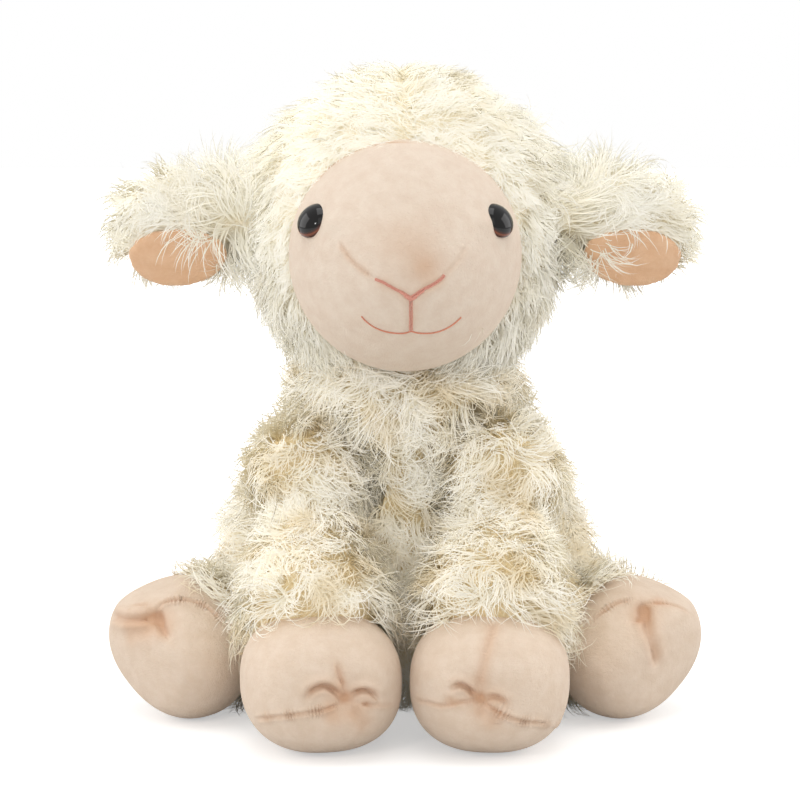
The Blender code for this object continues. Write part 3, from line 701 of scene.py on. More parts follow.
def tint(piece, weights):
    """Marks where the cloth is tucked in, which its finish darkens with painted shade. Marks add up to 1 at
    most.
    """
    layer = piece.data.attributes.get("painted_shade") or piece.data.attributes.new("painted_shade", "FLOAT", "POINT")
    marks = np.zeros(len(piece.data.vertices), np.float32)
    layer.data.foreach_get("value", marks)
    layer.data.foreach_set("value", np.clip(marks + weights, 0, 1).astype(np.float32))


def crease(piece, line, depth, width, puff=0.0, pleat=0.0, pitch=0.003, reach=0.003, fade=0.004, fine=0,
           shade_weight=0.5):
    """Presses a seam or fold into a stuffed form along a line. The cloth puffs up beside it, pleats of one
    pitch cross it, and painted shade darkens it. It fades out at its ends, and `fine` is how often the cloth
    is divided."""
    for round_number in range(fine):
        refine(piece, line, max(2.2 * width, 1.2 * reach) / (1 + 0.4 * round_number))
    places = places_of(piece)
    gap, along, length = beside(places, line)
    ends = np.clip(np.minimum(along, length - along) / fade + 0.15, 0, 1)
    # Painted shade along the line, strongest at its middle.
    tint(piece, shade_weight * ends * bell(gap, 2.5 * width))
    move = -depth * bell(gap, width) + puff * bell(gap - 2.2 * width, 1.3 * width)
    wave = np.sin(2 * math.pi * along / pitch + 2.4 * np.sin(along * 410) + 1.1 * np.sin(along * 970))
    uneven = 0.55 + 0.45 * np.sin(along * 620 + 2.0)
    move += pleat * uneven * wave * bell(gap, reach)
    put_places(piece, places + (move * ends)[:, None] * normals_of(piece))


def dimple(piece, centre, depth, radius, shade_weight=0.0):
    """Draws the cloth in round a point, or lets it swell out with a depth below 0. Painted shade can darken
    it there.
    """
    places = places_of(piece)
    near = bell(np.linalg.norm(places - np.array(centre), axis=1), radius)
    # Painted shade round the point.
    tint(piece, shade_weight * near)
    put_places(piece, places - (depth * near)[:, None] * normals_of(piece))


def velboa_finish(title, low, high, deep):
    """Short-pile velboa: a soft nap that mottles where it is brushed, darker and warmer with painted shade
    where the cloth is tucked in, with a pale sheen at the rim."""
    finish = Finish(title, low, 0.85)
    brushed = finish.noise(160, 4, 0.6)
    nap = finish.noise(2400, 2, 0.7)
    base = finish.ramp(brushed, (0.36, low), (0.64, high))
    speck = finish.spread(nap, 0.3, 0.7, 0, 0.16)
    # Painted shade: marked creases and dents are mixed towards the deep colour.
    painted_shade = finish.add("ShaderNodeAttribute", attribute_name="painted_shade").outputs["Fac"]
    finish.colour(finish.mix(finish.math("MULTIPLY", painted_shade, 0.7), finish.mix(speck, base, deep), deep))
    coarse = finish.math("MULTIPLY", finish.noise(700, 3, 0.65), 0.6)
    finish.bump(finish.math("ADD", coarse, finish.math("MULTIPLY", nap, 0.4)), 0.0009, 0.8)
    finish.shader.inputs["Specular IOR Level"].default_value = 0.15
    finish.sheen(0.35, 0.4, srgb(255, 240, 226))
    return finish.material


# The deep colour is painted shade in the creases and dents, and the nap's fine specks.
FACE_VELBOA = velboa_finish("face velboa", srgb(221, 204, 187), srgb(227, 213, 197), srgb(204, 164, 132))

face = stuffed_ball("face", FACE_CENTRE, FACE_HALF, 7)
places = places_of(face)
ahead = np.maximum(0, FACE_CENTRE[1] - places[:, 1]) / FACE_HALF[1]
muzzle = bell(np.hypot(places[:, 0], places[:, 2] - MUZZLE_HEIGHT), MUZZLE_SPREAD)
places[:, 1] -= MUZZLE_PULL * ahead * muzzle
put_places(face, places)
plain_face = tree_of(face)

# Lines and points on the face, by pixels of the picture.
NOSE_LEFT = ((375, 279), (384, 283), (394, 289), (403, 293), (411, 298))
NOSE_RIGHT = ((444.5, 275), (442, 279), (433, 285), (421, 291), (411, 298))
PHILTRUM = ((411, 296), (411, 307), (411, 318), (411, 331))
HOOD_EDGE_LEFT = ((316, 184), (325, 172), (338, 161), (356, 151), (380, 144), (400, 142), (414, 143))
HOOD_EDGE_RIGHT = ((479, 156), (488, 161), (495, 168), (501, 177))
GUSSET_LEFT = ((338, 241), (345, 252), (352, 261), (362, 270), (374, 278))
GUSSET_RIGHT = ((468, 244), (461, 256), (455, 265), (444, 275))
BESIDE_EYES = (((486, 224), -0.0016), ((333, 222), -0.0010))

face.data.materials.append(FACE_VELBOA)
# Painted shadow of the hood's pile along the top of the face, over a shallow crease.
crease(face, drawn_line(plain_face, HOOD_EDGE_LEFT), 0.0006, 0.0006, fade=0.010, fine=1, shade_weight=1.0)
crease(face, drawn_line(plain_face, HOOD_EDGE_RIGHT), 0.0004, 0.0006, fade=0.006, fine=1, shade_weight=0.6)
for pixel, depth in BESIDE_EYES:
    dimple(face, seen_at(plain_face, *pixel)[0], depth, 0.0045)
# Painted shade along the gussets, the nose and the philtrum.
crease(face, drawn_line(plain_face, GUSSET_LEFT), 0.0006, 0.0007, puff=0.0003, pleat=0.00014,
       pitch=0.0021, reach=0.0016, fine=2, shade_weight=0.45)
crease(face, drawn_line(plain_face, GUSSET_RIGHT), 0.0003, 0.0008, puff=0.0002, pleat=0.00008,
       pitch=0.0021, reach=0.0014, fine=1, shade_weight=0.25)
for arm in (NOSE_LEFT, NOSE_RIGHT):
    crease(face, drawn_line(plain_face, arm), 0.0007, 0.0010, puff=0.0003, fine=1, shade_weight=0.5)
crease(face, drawn_line(plain_face, PHILTRUM), 0.0006, 0.0012, puff=0.0004, fine=1, shade_weight=0.3)
# A shallow dent above the nose and a swell over its bridge, both tinted with painted shade.
dimple(face, seen_at(plain_face, 425, 268)[0], 0.0002, 0.006, shade_weight=0.7)
dimple(face, seen_at(plain_face, 410, 245)[0], -0.0002, 0.013, shade_weight=0.45)
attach(face, "head")
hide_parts("face_panel")

# ---------------------------------------------------------------------------------------------
# Eyes. Domed safety eyes of clear plastic over a black pupil and a thin brown ring, each with a
# locking washer behind the cloth. The cloth of the face swells a little at the side of each.
# ---------------------------------------------------------------------------------------------
EYE_RADIUS = 0.0077
EYE_DOME = 0.0050
EYE_BACK = 0.0016
EYE_SUNK = 0.0006
CAD_DOME = 0.0052

eye_plastic = Finish("glossy eye plastic", srgb(14, 10, 9), 0.06)
eye_plastic.shader.inputs["IOR"].default_value = 1.36
ring = eye_plastic.add("ShaderNodeUVMap", uv_map="ring")
radial = eye_plastic.add("ShaderNodeSeparateXYZ")
eye_plastic.join(ring.outputs["UV"], radial.inputs[0])
eye_plastic.colour(eye_plastic.ramp(
    radial.outputs["X"], (0.0, srgb(6, 5, 6)), (0.86, srgb(10, 7, 6)), (0.93, srgb(70, 34, 20)),
    (0.96, srgb(128, 66, 38)), (1.0, srgb(60, 34, 24)),
))
washer_plastic = Finish("moulded washer plastic", srgb(230, 230, 226), 0.45)
washer_plastic.bump(washer_plastic.noise(900, 2), 0.0002)

for side in ("left", "right"):
    low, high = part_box(f"eye_{side}")
    washer_low, washer_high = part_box(f"eye_washer_{side}")
    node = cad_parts[f"eye_{side}"]
    corners = np.array([vertex.co for vertex in node.data.vertices])
    axis = unit((np.array(low) + np.array(high)) / 2 - (np.array(washer_low) + np.array(washer_high)) / 2)
    top = (corners @ axis).max()
    middle = corners[(corners @ axis) > top - CAD_DOME].mean(0)
    seat = middle + axis * (top - EYE_DOME - EYE_SUNK - middle @ axis)
    bpy.ops.object.select_all(action="DESELECT")
    bpy.ops.mesh.primitive_uv_sphere_add(segments=48, ring_count=32, radius=1)
    eye = bpy.context.object
    eye.name = f"domed_eye_{side}"
    places = places_of(eye)
    radius = np.hypot(places[:, 0], places[:, 1])
    places[:, 2] = np.where(places[:, 2] > 0, EYE_DOME * places[:, 2], EYE_BACK * places[:, 2])
    places[:, :2] *= EYE_RADIUS
    turned = np.array(Vector(axis).to_track_quat("Z", "Y").to_matrix())
    put_places(eye, places @ turned.T + seat)
    layer = eye.data.uv_layers.new(name="ring")
    index = np.array([loop.vertex_index for loop in eye.data.loops])
    layer.data.foreach_set("uv", np.stack([radius[index], np.zeros(len(index))], 1).ravel())
    bpy.ops.object.shade_smooth()
    eye.data.materials.append(eye_plastic.material)
    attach(eye, "head")
    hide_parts(f"eye_{side}")
    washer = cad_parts[f"eye_washer_{side}"]
    washer.data.materials.clear()
    washer.data.materials.append(washer_plastic.material)

# ---------------------------------------------------------------------------------------------
# Nose and mouth. Pink satin thread: the nose is two arms of doubled thread that meet in a thicker
# point, with a doubled thread down from it. The mouth is a thin orange-pink thread to each side.
# ---------------------------------------------------------------------------------------------
thread_pink = Finish("pink satin thread", srgb(222, 146, 132), 0.5)
twist = thread_pink.noise(2600, 2)
thread_pink.colour(thread_pink.ramp(twist, (0.3, srgb(192, 120, 102)), (0.7, srgb(224, 164, 146))))
thread_pink.bump(twist, 0.0002, 0.7)
thread_pink.sheen(0.3, 0.4, srgb(255, 220, 210))
thread_thin = Finish("thin orange-pink thread", srgb(214, 120, 95), 0.5)
thread_thin.colour(thread_thin.ramp(
    thread_thin.noise(2600, 2), (0.3, srgb(190, 110, 84)), (0.7, srgb(214, 146, 118))
))

THREAD_FACETS = 8
dressed_face = tree_of(face)


def thread_run(shape, line, radius):
    """One closed tube of thread along a line, thinner at both ends."""
    tangents = unit(np.gradient(line, axis=0))
    rings = []
    for index, (place, tangent) in enumerate(zip(line, tangents)):
        outward = unit(np.cross(tangent, (0, 0, 1) if abs(tangent[2]) < 0.9 else (1, 0, 0)))
        binormal = np.cross(tangent, outward)
        end = min(index, len(line) - 1 - index)
        size = radius * (0.45, 0.8, 1.0)[min(end, 2)]
        ring = []
        for step in range(THREAD_FACETS):
            angle = 2 * math.pi * step / THREAD_FACETS
            spoke = math.cos(angle) * outward + math.sin(angle) * binormal
            ring.append(shape.verts.new(place + size * spoke))
        rings.append(ring)
    for first, second in zip(rings, rings[1:]):
        for step in range(THREAD_FACETS):
            after = (step + 1) % THREAD_FACETS
            shape.faces.new((first[step], first[after], second[after], second[step]))
    shape.faces.new(rings[0][::-1])
    shape.faces.new(rings[-1])


def embroidery(title, runs, material, node):
    """Threads on the face: each run is a line of pixels, the thread's radius, a shift to the side in
    metres and how far its middle stands off the cloth."""
    shape = bmesh.new()
    for pixels, radius, shift, stand in runs:
        line = drawn_line(plain_face, pixels, 3)
        tangents = unit(np.gradient(line, axis=0))
        for index, place in enumerate(line):
            spot, normal, _, _ = dressed_face.find_nearest(Vector(place))
            aside = unit(np.cross(tangents[index], np.array(normal)))
            line[index] = np.array(spot) + np.array(normal) * stand + aside * shift
        thread_run(shape, line, radius)
    bmesh.ops.recalc_face_normals(shape, faces=shape.faces)
    mesh = bpy.data.meshes.new(title)
    shape.to_mesh(mesh)
    shape.free()
    shade_smooth(mesh)
    mesh.materials.append(material)
    piece = new_piece(title, mesh)
    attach(piece, "head")
    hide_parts(node)


embroidery("nose_thread", [
    (NOSE_LEFT, 0.00029, -0.0003, 0.0002), (NOSE_LEFT, 0.00029, 0.0003, 0.0002),
    (NOSE_RIGHT, 0.00034, -0.0003, 0.0002), (NOSE_RIGHT, 0.00034, 0.0004, 0.0002),
    (((400, 292), (406, 296), (411, 299), (417, 296), (424, 291)), 0.00042, 0.0, 0.0004),
    (((404, 296), (411, 301), (417, 297)), 0.00040, 0.0, 0.0003),
], thread_pink.material, "nose_stitches")
embroidery("lip_thread", [
    (PHILTRUM, 0.00029, -0.0004, 0.0002), (PHILTRUM, 0.00029, 0.0004, 0.0002),
], thread_pink.material, "lip_stitches")
MOUTH_LEFT = ((361.5, 316), (366, 321), (374, 327), (384, 331), (395, 333), (404, 333), (411, 331))
MOUTH_RIGHT = ((411, 331), (420, 333), (432, 333), (443, 330), (452, 325), (458, 320), (461, 317))
embroidery("mouth_thread", [
    (MOUTH_LEFT, 0.00030, 0, 0.0002), (MOUTH_RIGHT, 0.00030, 0, 0.0002),
], thread_thin.material, "mouth_stitches")

# ---------------------------------------------------------------------------------------------
# Ears. Each a flat leaf of plush with hardly any stuffing, curly over its back and top edge, and
# an orange-peach velboa lining let into the lower front, which the pile overhangs.
# ---------------------------------------------------------------------------------------------
EAR_SINK = 0.0055
EAR_PIVOT = np.array([0.064, -0.002, 0.205])
EAR_HALF_HEIGHT = 0.027
EAR_TUFT_SPACING = 0.0040
EAR_VOXEL = 0.003
LINING_VOXEL = 0.0009
LINING_SWELL = 0.0012
LINING_TOP = 0.2014
LINING_RIM = 0.004

LINING_VELBOA = velboa_finish(
    "ear lining velboa", srgb(222, 180, 144), srgb(230, 192, 158), srgb(206, 158, 120)
)

for side, sign in (("left", 1), ("right", -1)):
    ear_rng = np.random.default_rng(20 + sign)
    ear_cloth = backing_cloth(f"ear_cloth_{side}", (f"ear_outer_{side}", f"ear_lining_{side}"), EAR_SINK,
                              EAR_VOXEL)
    ear_cloth.data.materials.append(HEAD_BACKING)
    lining = sewn_copy(f"ear_lining_cloth_{side}", f"ear_lining_{side}")
    finish_with(lining, "REMESH", mode="VOXEL", voxel_size=LINING_VOXEL)
    finish_with(lining, "SMOOTH", factor=0.5, iterations=10)
    finish_with(lining, "DISPLACE", strength=LINING_SWELL, mid_level=0)
    shade_smooth(lining.data)
    lining.data.materials.append(LINING_VELBOA)
    lining_form = tree_of(lining)
    points, normals = tuft_roots(ear_cloth, EAR_TUFT_SPACING, ear_rng, [head_form], margin=-0.006)
    by_lining = gaps_to(lining_form, points) < LINING_RIM
    bare = by_lining & (points[:, 1] < 0) & (points[:, 2] < LINING_TOP - LINING_RIM)
    points, normals = points[~bare], normals[~bare]
    near_head = np.clip(1 - (np.abs(points[:, 0]) - EAR_PIVOT[0]) / 0.035, 0, 1)
    out = np.array([sign * 0.9, 0.0, -0.35])
    over = points[:, 2:] > EAR_PIVOT[2] - 0.25 * EAR_HALF_HEIGHT
    lean = np.where(over, out + 0.2 * DOWN, out) + 1.4 * drift(points, 0.018, 3 + sign)
    lean += 2.0 * near_head[:, None] * np.where(points[:, 2:] > EAR_PIVOT[2], -DOWN, DOWN)
    ear_pile = pile(
        f"ear_pile_{side}", points, normals, lean, ear_rng, hard=[lining_form], material=HEAD_FIBRE,
        length=(0.012, 0.016), rise=(46, 76), settle=(-10, 14), turn=(40, 150), fibres=28,
        scale=1 + 1.1 * near_head,
    )
    for piece in (ear_cloth, *ear_pile):
        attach(piece, f"ear_{side}")
    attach(lining, f"ear_{side}")
    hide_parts(f"ear_outer_{side}")
    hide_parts(f"ear_lining_{side}")

# ---------------------------------------------------------------------------------------------
# Front legs. A curly sleeve with its cuff hanging ragged over a stuffed velboa hoof. The cleft of
# the hoof is drawn in by stitches, so that folds star out from it, and the sole is a piece of its own.
# ---------------------------------------------------------------------------------------------
HOOF_DETAIL = 6
SEAM_ANGLE = math.radians(50)
HOOF_FLOOR = 0.0002
# The last entry is the share of painted shade along a hoof's seams.
HOOF_SEAM = {
    "depth": 0.0008, "width": 0.0007, "pitch": 0.0013, "reach": 0.0030, "fade": 0.006, "fine": 2,
    "shade_weight": 0.35,
}
FRONT_HALF = (0.0320, 0.0332, 0.0276)
FRONT_TURN = {"left": math.radians(-6), "right": math.radians(12)}
FRONT_SOLE_TILT = math.radians(9)
DOWN_LEG = np.array([0, -0.062, -0.073])
FRONT_CUFF = 0.014

# The deep colour is painted shade in the cleft, folds and seams, and the nap's fine specks.
HOOF_VELBOA = velboa_finish("hoof velboa", srgb(222, 203, 183), srgb(229, 212, 194), srgb(202, 154, 116))


def press_flat(piece):
    """The piece rests on the floor: what would reach below it is pressed flat."""
    places = places_of(piece)
    places[:, 2] = np.maximum(places[:, 2], HOOF_FLOOR)
    put_places(piece, places)


def draw_cleft(hoof, sleeve_cloth, cleft, wide, narrow, pitch):
    """Stitches drawn tight through a hoof: a wide dimple with a narrow one in it, the folds that star
    out from it and the seams beside it, all darkened with painted shade. The sleeve's cloth behind gives
    way. Hands back the form that the hoof had before."""
    plain_hoof = tree_of(hoof)
    star, folds, seams = cleft
    centre = seen_at(plain_hoof, *star)[0]
    dimple(hoof, centre, *wide, shade_weight=0.3)
    dimple(sleeve_cloth, centre, 0.0060, 0.0130)
    dented = tree_of(hoof)
    dimple(hoof, seen_at(dented, *star)[0], *narrow, shade_weight=0.8)
    for pixels, depth, width, puff, pleat, fine in folds:
        crease(hoof, drawn_line(dented, pixels), depth, width, puff, pleat, pitch, 2.2 * width, 0.005, fine)
    for pixels, puff, pleat in seams:
        crease(hoof, drawn_line(dented, pixels), puff=puff, pleat=pleat, **HOOF_SEAM)
    press_flat(hoof)
    return plain_hoof


def sleeve_roots(sleeve_cloth, hoof_tree, rng):
    """Where a sleeve's tufts stand: clear of its hoof and of the body."""
    points, normals = tuft_roots(
        sleeve_cloth, BODY_TUFT_SPACING, rng, [hoof_tree], proud=PILE_SINK, margin=-0.001
    )
    free = clear_of([body_form], points, -0.003) & clear_of([hoof_tree], points, -0.001)
    return points[free], normals[free]


def near_hoof(points, hoof_tree, reach):
    return np.clip(1 - gaps_to(hoof_tree, points) / reach, 0, 1)


def split_at(piece, title, place, facing):
    """Cuts a stuffed form along a seam plane. What lies on the side that the plane faces becomes a piece
    of its own, and both are closed at the cut."""
    other = piece.copy()
    other.data = piece.data.copy()
    other.name = title
    bpy.context.scene.collection.objects.link(other)
    for part, inner in ((piece, False), (other, True)):
        choose(part)
        bpy.ops.object.mode_set(mode="EDIT")
        bpy.ops.mesh.select_all(action="SELECT")
        bpy.ops.mesh.bisect(
            plane_co=place, plane_no=facing, use_fill=True, clear_inner=inner, clear_outer=not inner
        )
        bpy.ops.object.mode_set(mode="OBJECT")
        bpy.ops.object.shade_smooth_by_angle(angle=SEAM_ANGLE)
    return other


# A cleft, by pixels of the picture: its point, the folds that star out from it and the seams beside it.
# A fold gives its line, depth, width, puff and pleat, and how often the cloth is divided near it. A seam
# gives its line, puff and pleat.
FRONT_CLEFTS = {
    "right": (
        (345, 697),
        (
            (((336, 660), (338, 670), (341, 681), (344, 692)), 0.0011, 0.0009, 0.0003, 0.0001, 2),
            (((305, 699), (312, 689), (325, 685), (335, 691), (342, 699)), 0.0024, 0.0011, 0.0011, 0.0, 2),
            (((350, 698), (356, 691), (367, 690), (376, 696), (379, 701)), 0.0024, 0.0010, 0.0011, 0.0, 2),
            (((346, 704), (355, 714), (370, 730)), 0.0012, 0.0018, 0.0004, 0.0, 0),
            (((341, 706), (332, 714), (320, 723)), 0.0006, 0.0022, 0.0003, 0.0, 0),
            (((362, 706), (366, 703), (371, 704)), 0.0012, 0.0010, 0.0003, 0.0002, 2),
        ),
        (
            (((256, 719), (269, 717), (290, 715), (311, 712), (326, 709), (340, 704)), 0.0005, 0.00055),
            (((352, 702), (370, 705), (385, 705), (400, 704)), 0.0002, 0.00005),
        ),
    ),
    "left": (
        (480, 698),
        (
            (((495, 622), (490, 639), (486, 655), (481, 675), (479, 690)), 0.0006, 0.0012, 0.0002, 0.0001, 2),
            (((450, 690), (458, 684), (467, 687), (473, 693), (479, 699)), 0.0022, 0.0010, 0.0010, 0.0, 2),
            (((484, 700), (493, 696), (503, 699), (510, 707)), 0.0014, 0.0010, 0.0008, 0.0, 2),
            (((442, 703), (450, 700), (460, 701)), 0.0009, 0.0012, 0.0003, 0.0004, 2),
            (((480, 703), (481, 712), (483, 722)), 0.0012, 0.0014, 0.0003, 0.0, 0),
            (((487, 710), (494, 718), (504, 727)), 0.0008, 0.0020, 0.0003, 0.0, 0),
        ),
        (
            (((415, 699), (428, 702), (440, 706), (452, 704), (466, 701), (479, 700)), 0.0002, 0.00014),
            (((482, 700), (489, 706), (499, 712), (511, 718), (526, 722), (540, 722), (561, 722)),
             0.0005, 0.00055),
        ),
    ),
}

for side, sign in (("left", 1), ("right", -1)):
    leg_rng = np.random.default_rng(30 + sign)
    body = f"front_leg_{side}"
    sleeve_nodes = (f"front_sleeve_{side}", f"front_filling_{side}")
    sleeve_cloth = backing_cloth(f"front_sleeve_cloth_{side}", sleeve_nodes)
    sleeve_cloth.data.materials.append(BACKING)
    hoof = stuffed_ball(
        f"front_hoof_cloth_{side}", (sign * 0.034, -0.082, 0.0270), FRONT_HALF, HOOF_DETAIL,
        (0, 0, FRONT_TURN[side]), 2.4,
    )
    hoof.data.materials.append(HOOF_VELBOA)
    hoof_tree = draw_cleft(
        hoof, sleeve_cloth, FRONT_CLEFTS[side], (0.0036, 0.0085), (0.0022, 0.0024), 0.0016
    )
    sole = split_at(
        hoof, f"front_sole_cloth_{side}", (sign * 0.034, -0.084, 0.013),
        (0, -math.sin(FRONT_SOLE_TILT), -math.cos(FRONT_SOLE_TILT)),
    )
    points, normals = sleeve_roots(sleeve_cloth, hoof_tree, leg_rng)
    lean = 9 * DOWN_LEG + 1.9 * drift(points, 0.02, 5 + sign)
    sleeve_pile = pile(
        f"front_sleeve_pile_{side}", points, normals, lean, leg_rng, hard=[hoof_tree],
        scale=1 + 0.35 * near_hoof(points, hoof_tree, FRONT_CUFF),
    )
    for piece in (sleeve_cloth, *sleeve_pile, hoof, sole):
        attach(piece, body)
    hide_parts(f"front_sleeve_{side}", f"front_filling_{side}")
    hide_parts(f"front_hoof_{side}")
    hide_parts(f"front_sole_{side}")

# ---------------------------------------------------------------------------------------------
# Hind legs. The same sleeves and hooves, splayed out so that the soles face the front, each pressed
# flatter on its top and at its sole, with a deep cleft and a seam drawn in beside it.
# ---------------------------------------------------------------------------------------------
HIND_SPLAY = math.radians(41)
HIND_ROLL = math.radians(36)
HIND_HALF = (0.0325, 0.0262, 0.0250)
HIND_SOLE_TILT = math.radians(14)
HIND_CUFF = 0.018

HIND_CLEFTS = {
    "right": (
        (157, 617),
        (
            (((113, 616), (128, 620), (143, 619), (157, 618)), 0.0022, 0.0015, 0.0008, 0.0, 2),
            (((122, 634), (140, 631), (158, 627)), 0.0008, 0.0024, 0.0003, 0.0, 0),
            (((157, 611), (160, 621), (164, 632), (170, 640)), 0.0018, 0.0016, 0.0006, 0.0, 2),
        ),
        (
            (((129, 607), (141, 605), (153, 606)), 0.0003, 0.0002),
            (((157, 609), (163, 603), (174, 600), (191, 601), (208, 608), (218, 618), (223, 624)),
             0.0006, 0.00055),
        ),
    ),
    "left": (
        (643, 612),
        (
            (((641, 600), (644, 608), (646, 620), (648, 634), (655, 652), (657, 668)),
             0.0019, 0.0018, 0.0006, 0.0, 2),
            (((632, 624), (637, 622), (643, 617)), 0.0014, 0.0011, 0.0005, 0.0, 2),
            (((650, 606), (660, 602), (671, 603)), 0.0008, 0.0014, 0.0004, 0.0003, 2),
        ),
        (
            (((590, 621), (598, 617), (610, 607), (621, 602), (633, 600)), 0.0006, 0.00055),
            (((646, 604), (660, 603), (676, 606), (690, 614)), 0.0002, 0.0001),
        ),
    ),
}

def flatten(piece, place, facing, share, onset=0.004):
    """Presses what stands out past a plane back to a share of its height, with a soft turn at the plane."""
    places = places_of(piece)
    above = np.maximum((places - place) @ facing, 0)
    above *= above / (above + onset)
    put_places(piece, places - (1 - share) * above[:, None] * facing)


for side, sign in (("left", 1), ("right", -1)):
    leg_rng = np.random.default_rng(40 + sign)
    body = f"hind_leg_{side}"
    sleeve_nodes = (f"hind_sleeve_{side}", f"hind_filling_{side}")
    sleeve_cloth = backing_cloth(f"hind_sleeve_cloth_{side}", sleeve_nodes)
    sleeve_cloth.data.materials.append(BACKING)
    along = np.array([sign * math.sin(HIND_SPLAY), -math.cos(HIND_SPLAY), 0])
    centre = np.array([sign * 0.0940, -0.0320, 0.0290])
    hoof = stuffed_ball(
        f"hind_hoof_cloth_{side}", centre, HIND_HALF, HOOF_DETAIL,
        (0, -sign * HIND_ROLL, sign * HIND_SPLAY), 2.3,
    )
    hoof.data.materials.append(HOOF_VELBOA)
    top = centre + np.array([sign * 0.0099, 0, 0.0210])
    flatten(hoof, top, unit(np.array([sign * 0.32, -0.1, 0.94])), 0.15)
    flatten(hoof, centre + along * 0.0205, unit(along + 0.12 * DOWN), 0.35)
    hoof_tree = draw_cleft(
        hoof, sleeve_cloth, HIND_CLEFTS[side], (0.0036, 0.0075), (0.0026, 0.0026), 0.0017
    )
    facing = along * math.cos(HIND_SOLE_TILT) + np.array([0, 0, math.sin(HIND_SOLE_TILT)])
    sole = split_at(hoof, f"hind_sole_cloth_{side}", centre + along * 0.014, facing)
    points, normals = sleeve_roots(sleeve_cloth, hoof_tree, leg_rng)
    above_floor = points[:, 2] > LOWEST_ROOT
    points, normals = points[above_floor], normals[above_floor]
    lean = 0.9 * along + 1.9 * drift(points, 0.02, 7 + sign)
    sleeve_pile = pile(
        f"hind_sleeve_pile_{side}", points, normals, lean, leg_rng, hard=[hoof_tree],
        scale=1 + 0.3 * near_hoof(points, hoof_tree, HIND_CUFF),
    )
    for piece in (sleeve_cloth, *sleeve_pile, hoof, sole):
        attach(piece, body)
    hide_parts(f"hind_sleeve_{side}", f"hind_filling_{side}")
    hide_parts(f"hind_hoof_{side}")
    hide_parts(f"hind_sole_{side}")

# ---------------------------------------------------------------------------------------------
# Tail. A short flat tab of the body's plush, sewn into the back seam and hanging down. It holds
# no filling, and its pile covers the seam.
# ---------------------------------------------------------------------------------------------
TAIL_SINK = 0.0050
TAIL_VOXEL = 0.003

tail_rng = np.random.default_rng(50)
tail_cloth = backing_cloth("tail_cloth", ("tail_cover",), TAIL_SINK, TAIL_VOXEL)
tail_cloth.data.materials.append(BACKING)
points, normals = tuft_roots(tail_cloth, BODY_TUFT_SPACING, tail_rng, [body_form])
lean = np.array([0, 0.7, -0.7]) + 1.2 * drift(points, 0.018, 9)
tail_pile = pile("tail_pile", points, normals, lean, tail_rng, length=(0.012, 0.016))
for piece in (tail_cloth, *tail_pile):
    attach(piece, "tail")
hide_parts("tail_cover")

# ---------------------------------------------------------------------------------------------
# Floor, light and camera: a white sweep whose painted light pales it to plain white further off, in a bright
# room.
# One soft lamp stands in front, one at each side and one above, and a small one sparks in the eyes.
# ---------------------------------------------------------------------------------------------
CAMERA_LENS = 127.06
CAMERA_SENSOR = 36
FLOOR_SIDE = 6.0
FLOOR_DROP = 0.0004
GLOW_FROM, GLOW_TO = (0.12, 0.46), (0.55, 1.0)
LAMP_AIM = Vector((0, 0, 0.13))

bpy.ops.object.select_all(action="DESELECT")
bpy.ops.mesh.primitive_plane_add(size=FLOOR_SIDE, location=(0, 0, -FLOOR_DROP))
floor = bpy.context.object
floor.name = "floor"
sweep = Finish("white floor", (0.72, 0.72, 0.72, 1), 0.6)
# Painted light: the floor glows for the camera and in reflections, weaker near the toy so that it is darker
# there.
glow = sweep.add("ShaderNodeEmission")
far = sweep.add("ShaderNodeVectorMath", operation="LENGTH")
sweep.join(sweep.place, far.inputs[0])
fade = sweep.spread(far.outputs["Value"], GLOW_FROM[0], GLOW_TO[0], GLOW_FROM[1], GLOW_TO[1])
sweep.join(fade, glow.inputs["Strength"])
seen = sweep.add("ShaderNodeLightPath")
shown = sweep.add("ShaderNodeMixShader")
both = sweep.add("ShaderNodeAddShader")
sweep.join(sweep.shader.outputs["BSDF"], both.inputs[0])
sweep.join(glow.outputs[0], both.inputs[1])
direct = sweep.math("MAXIMUM", seen.outputs["Is Camera Ray"], seen.outputs["Is Glossy Ray"])
sweep.join(direct, shown.inputs[0])
sweep.join(sweep.shader.outputs["BSDF"], shown.inputs[1])
sweep.join(both.outputs[0], shown.inputs[2])
sweep.join(shown.outputs[0], sweep.nodes["Material Output"].inputs["Surface"])
floor.data.materials.append(sweep.material)

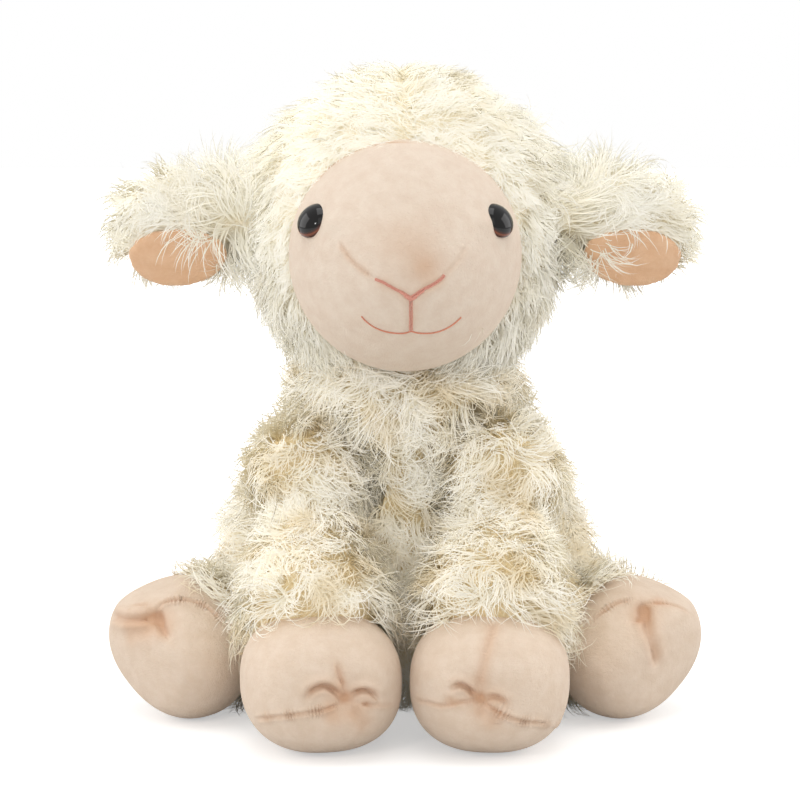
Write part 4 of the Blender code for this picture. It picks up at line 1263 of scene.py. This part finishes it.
world = bpy.data.worlds.new("bright room")
bpy.context.scene.world = world
world.use_nodes = True
room = world.node_tree
sky = room.nodes["Background"]
sky.inputs["Color"].default_value = (1.0, 0.99, 0.975, 1)
sky.inputs["Strength"].default_value = 0.68
white = room.nodes.new("ShaderNodeBackground")
white.inputs["Color"].default_value = (1, 1, 1, 1)
ray = room.nodes.new("ShaderNodeLightPath")
either, last = (room.nodes.new("ShaderNodeMath") for _ in range(2))
either.operation = last.operation = "MAXIMUM"
choice = room.nodes.new("ShaderNodeMixShader")
for source, target in (
    (ray.outputs["Is Camera Ray"], either.inputs[0]),
    (ray.outputs["Is Glossy Ray"], either.inputs[1]),
    (either.outputs[0], last.inputs[0]),
    (ray.outputs["Is Transmission Ray"], last.inputs[1]),
    (last.outputs[0], choice.inputs[0]),
    (sky.outputs[0], choice.inputs[1]),
    (white.outputs[0], choice.inputs[2]),
    (choice.outputs[0], room.nodes["World Output"].inputs["Surface"]),
):
    room.links.new(source, target)


def lamp(title, place, size, power, tint):
    light = bpy.data.lights.new(title, "AREA")
    light.shape = "SQUARE"
    light.size = size
    light.energy = power
    light.color = tint
    holder = bpy.data.objects.new(title, light)
    holder.location = place
    holder.rotation_euler = (LAMP_AIM - Vector(place)).to_track_quat("-Z", "Y").to_euler()
    bpy.context.scene.collection.objects.link(holder)


lamp("front", (0.2, -1.9, 1.4), 1.4, 5, (1.0, 0.985, 0.97))
lamp("left wall", (-1.7, 0.2, 0.8), 1.3, 11, (1.0, 0.99, 0.985))
lamp("right wall", (1.7, 0.2, 0.8), 1.3, 11, (1.0, 0.99, 0.985))
lamp("top", (0.0, -0.1, 1.9), 1.2, 10.5, (1.0, 1.0, 1.0))
lamp("spark", (-0.75, -1.5, 0.85), 0.22, 4, (1.0, 1.0, 1.0))

camera = bpy.data.objects.new("camera", bpy.data.cameras.new("camera"))
camera.data.lens = CAMERA_LENS
camera.data.sensor_width = CAMERA_SENSOR
camera.location = CAMERA_PLACE
camera.rotation_euler = (math.radians(90) - CAMERA_TILT, 0, 0)
bpy.context.scene.collection.objects.link(camera)
bpy.context.scene.camera = camera
bpy.context.scene.view_settings.view_transform = "Standard"
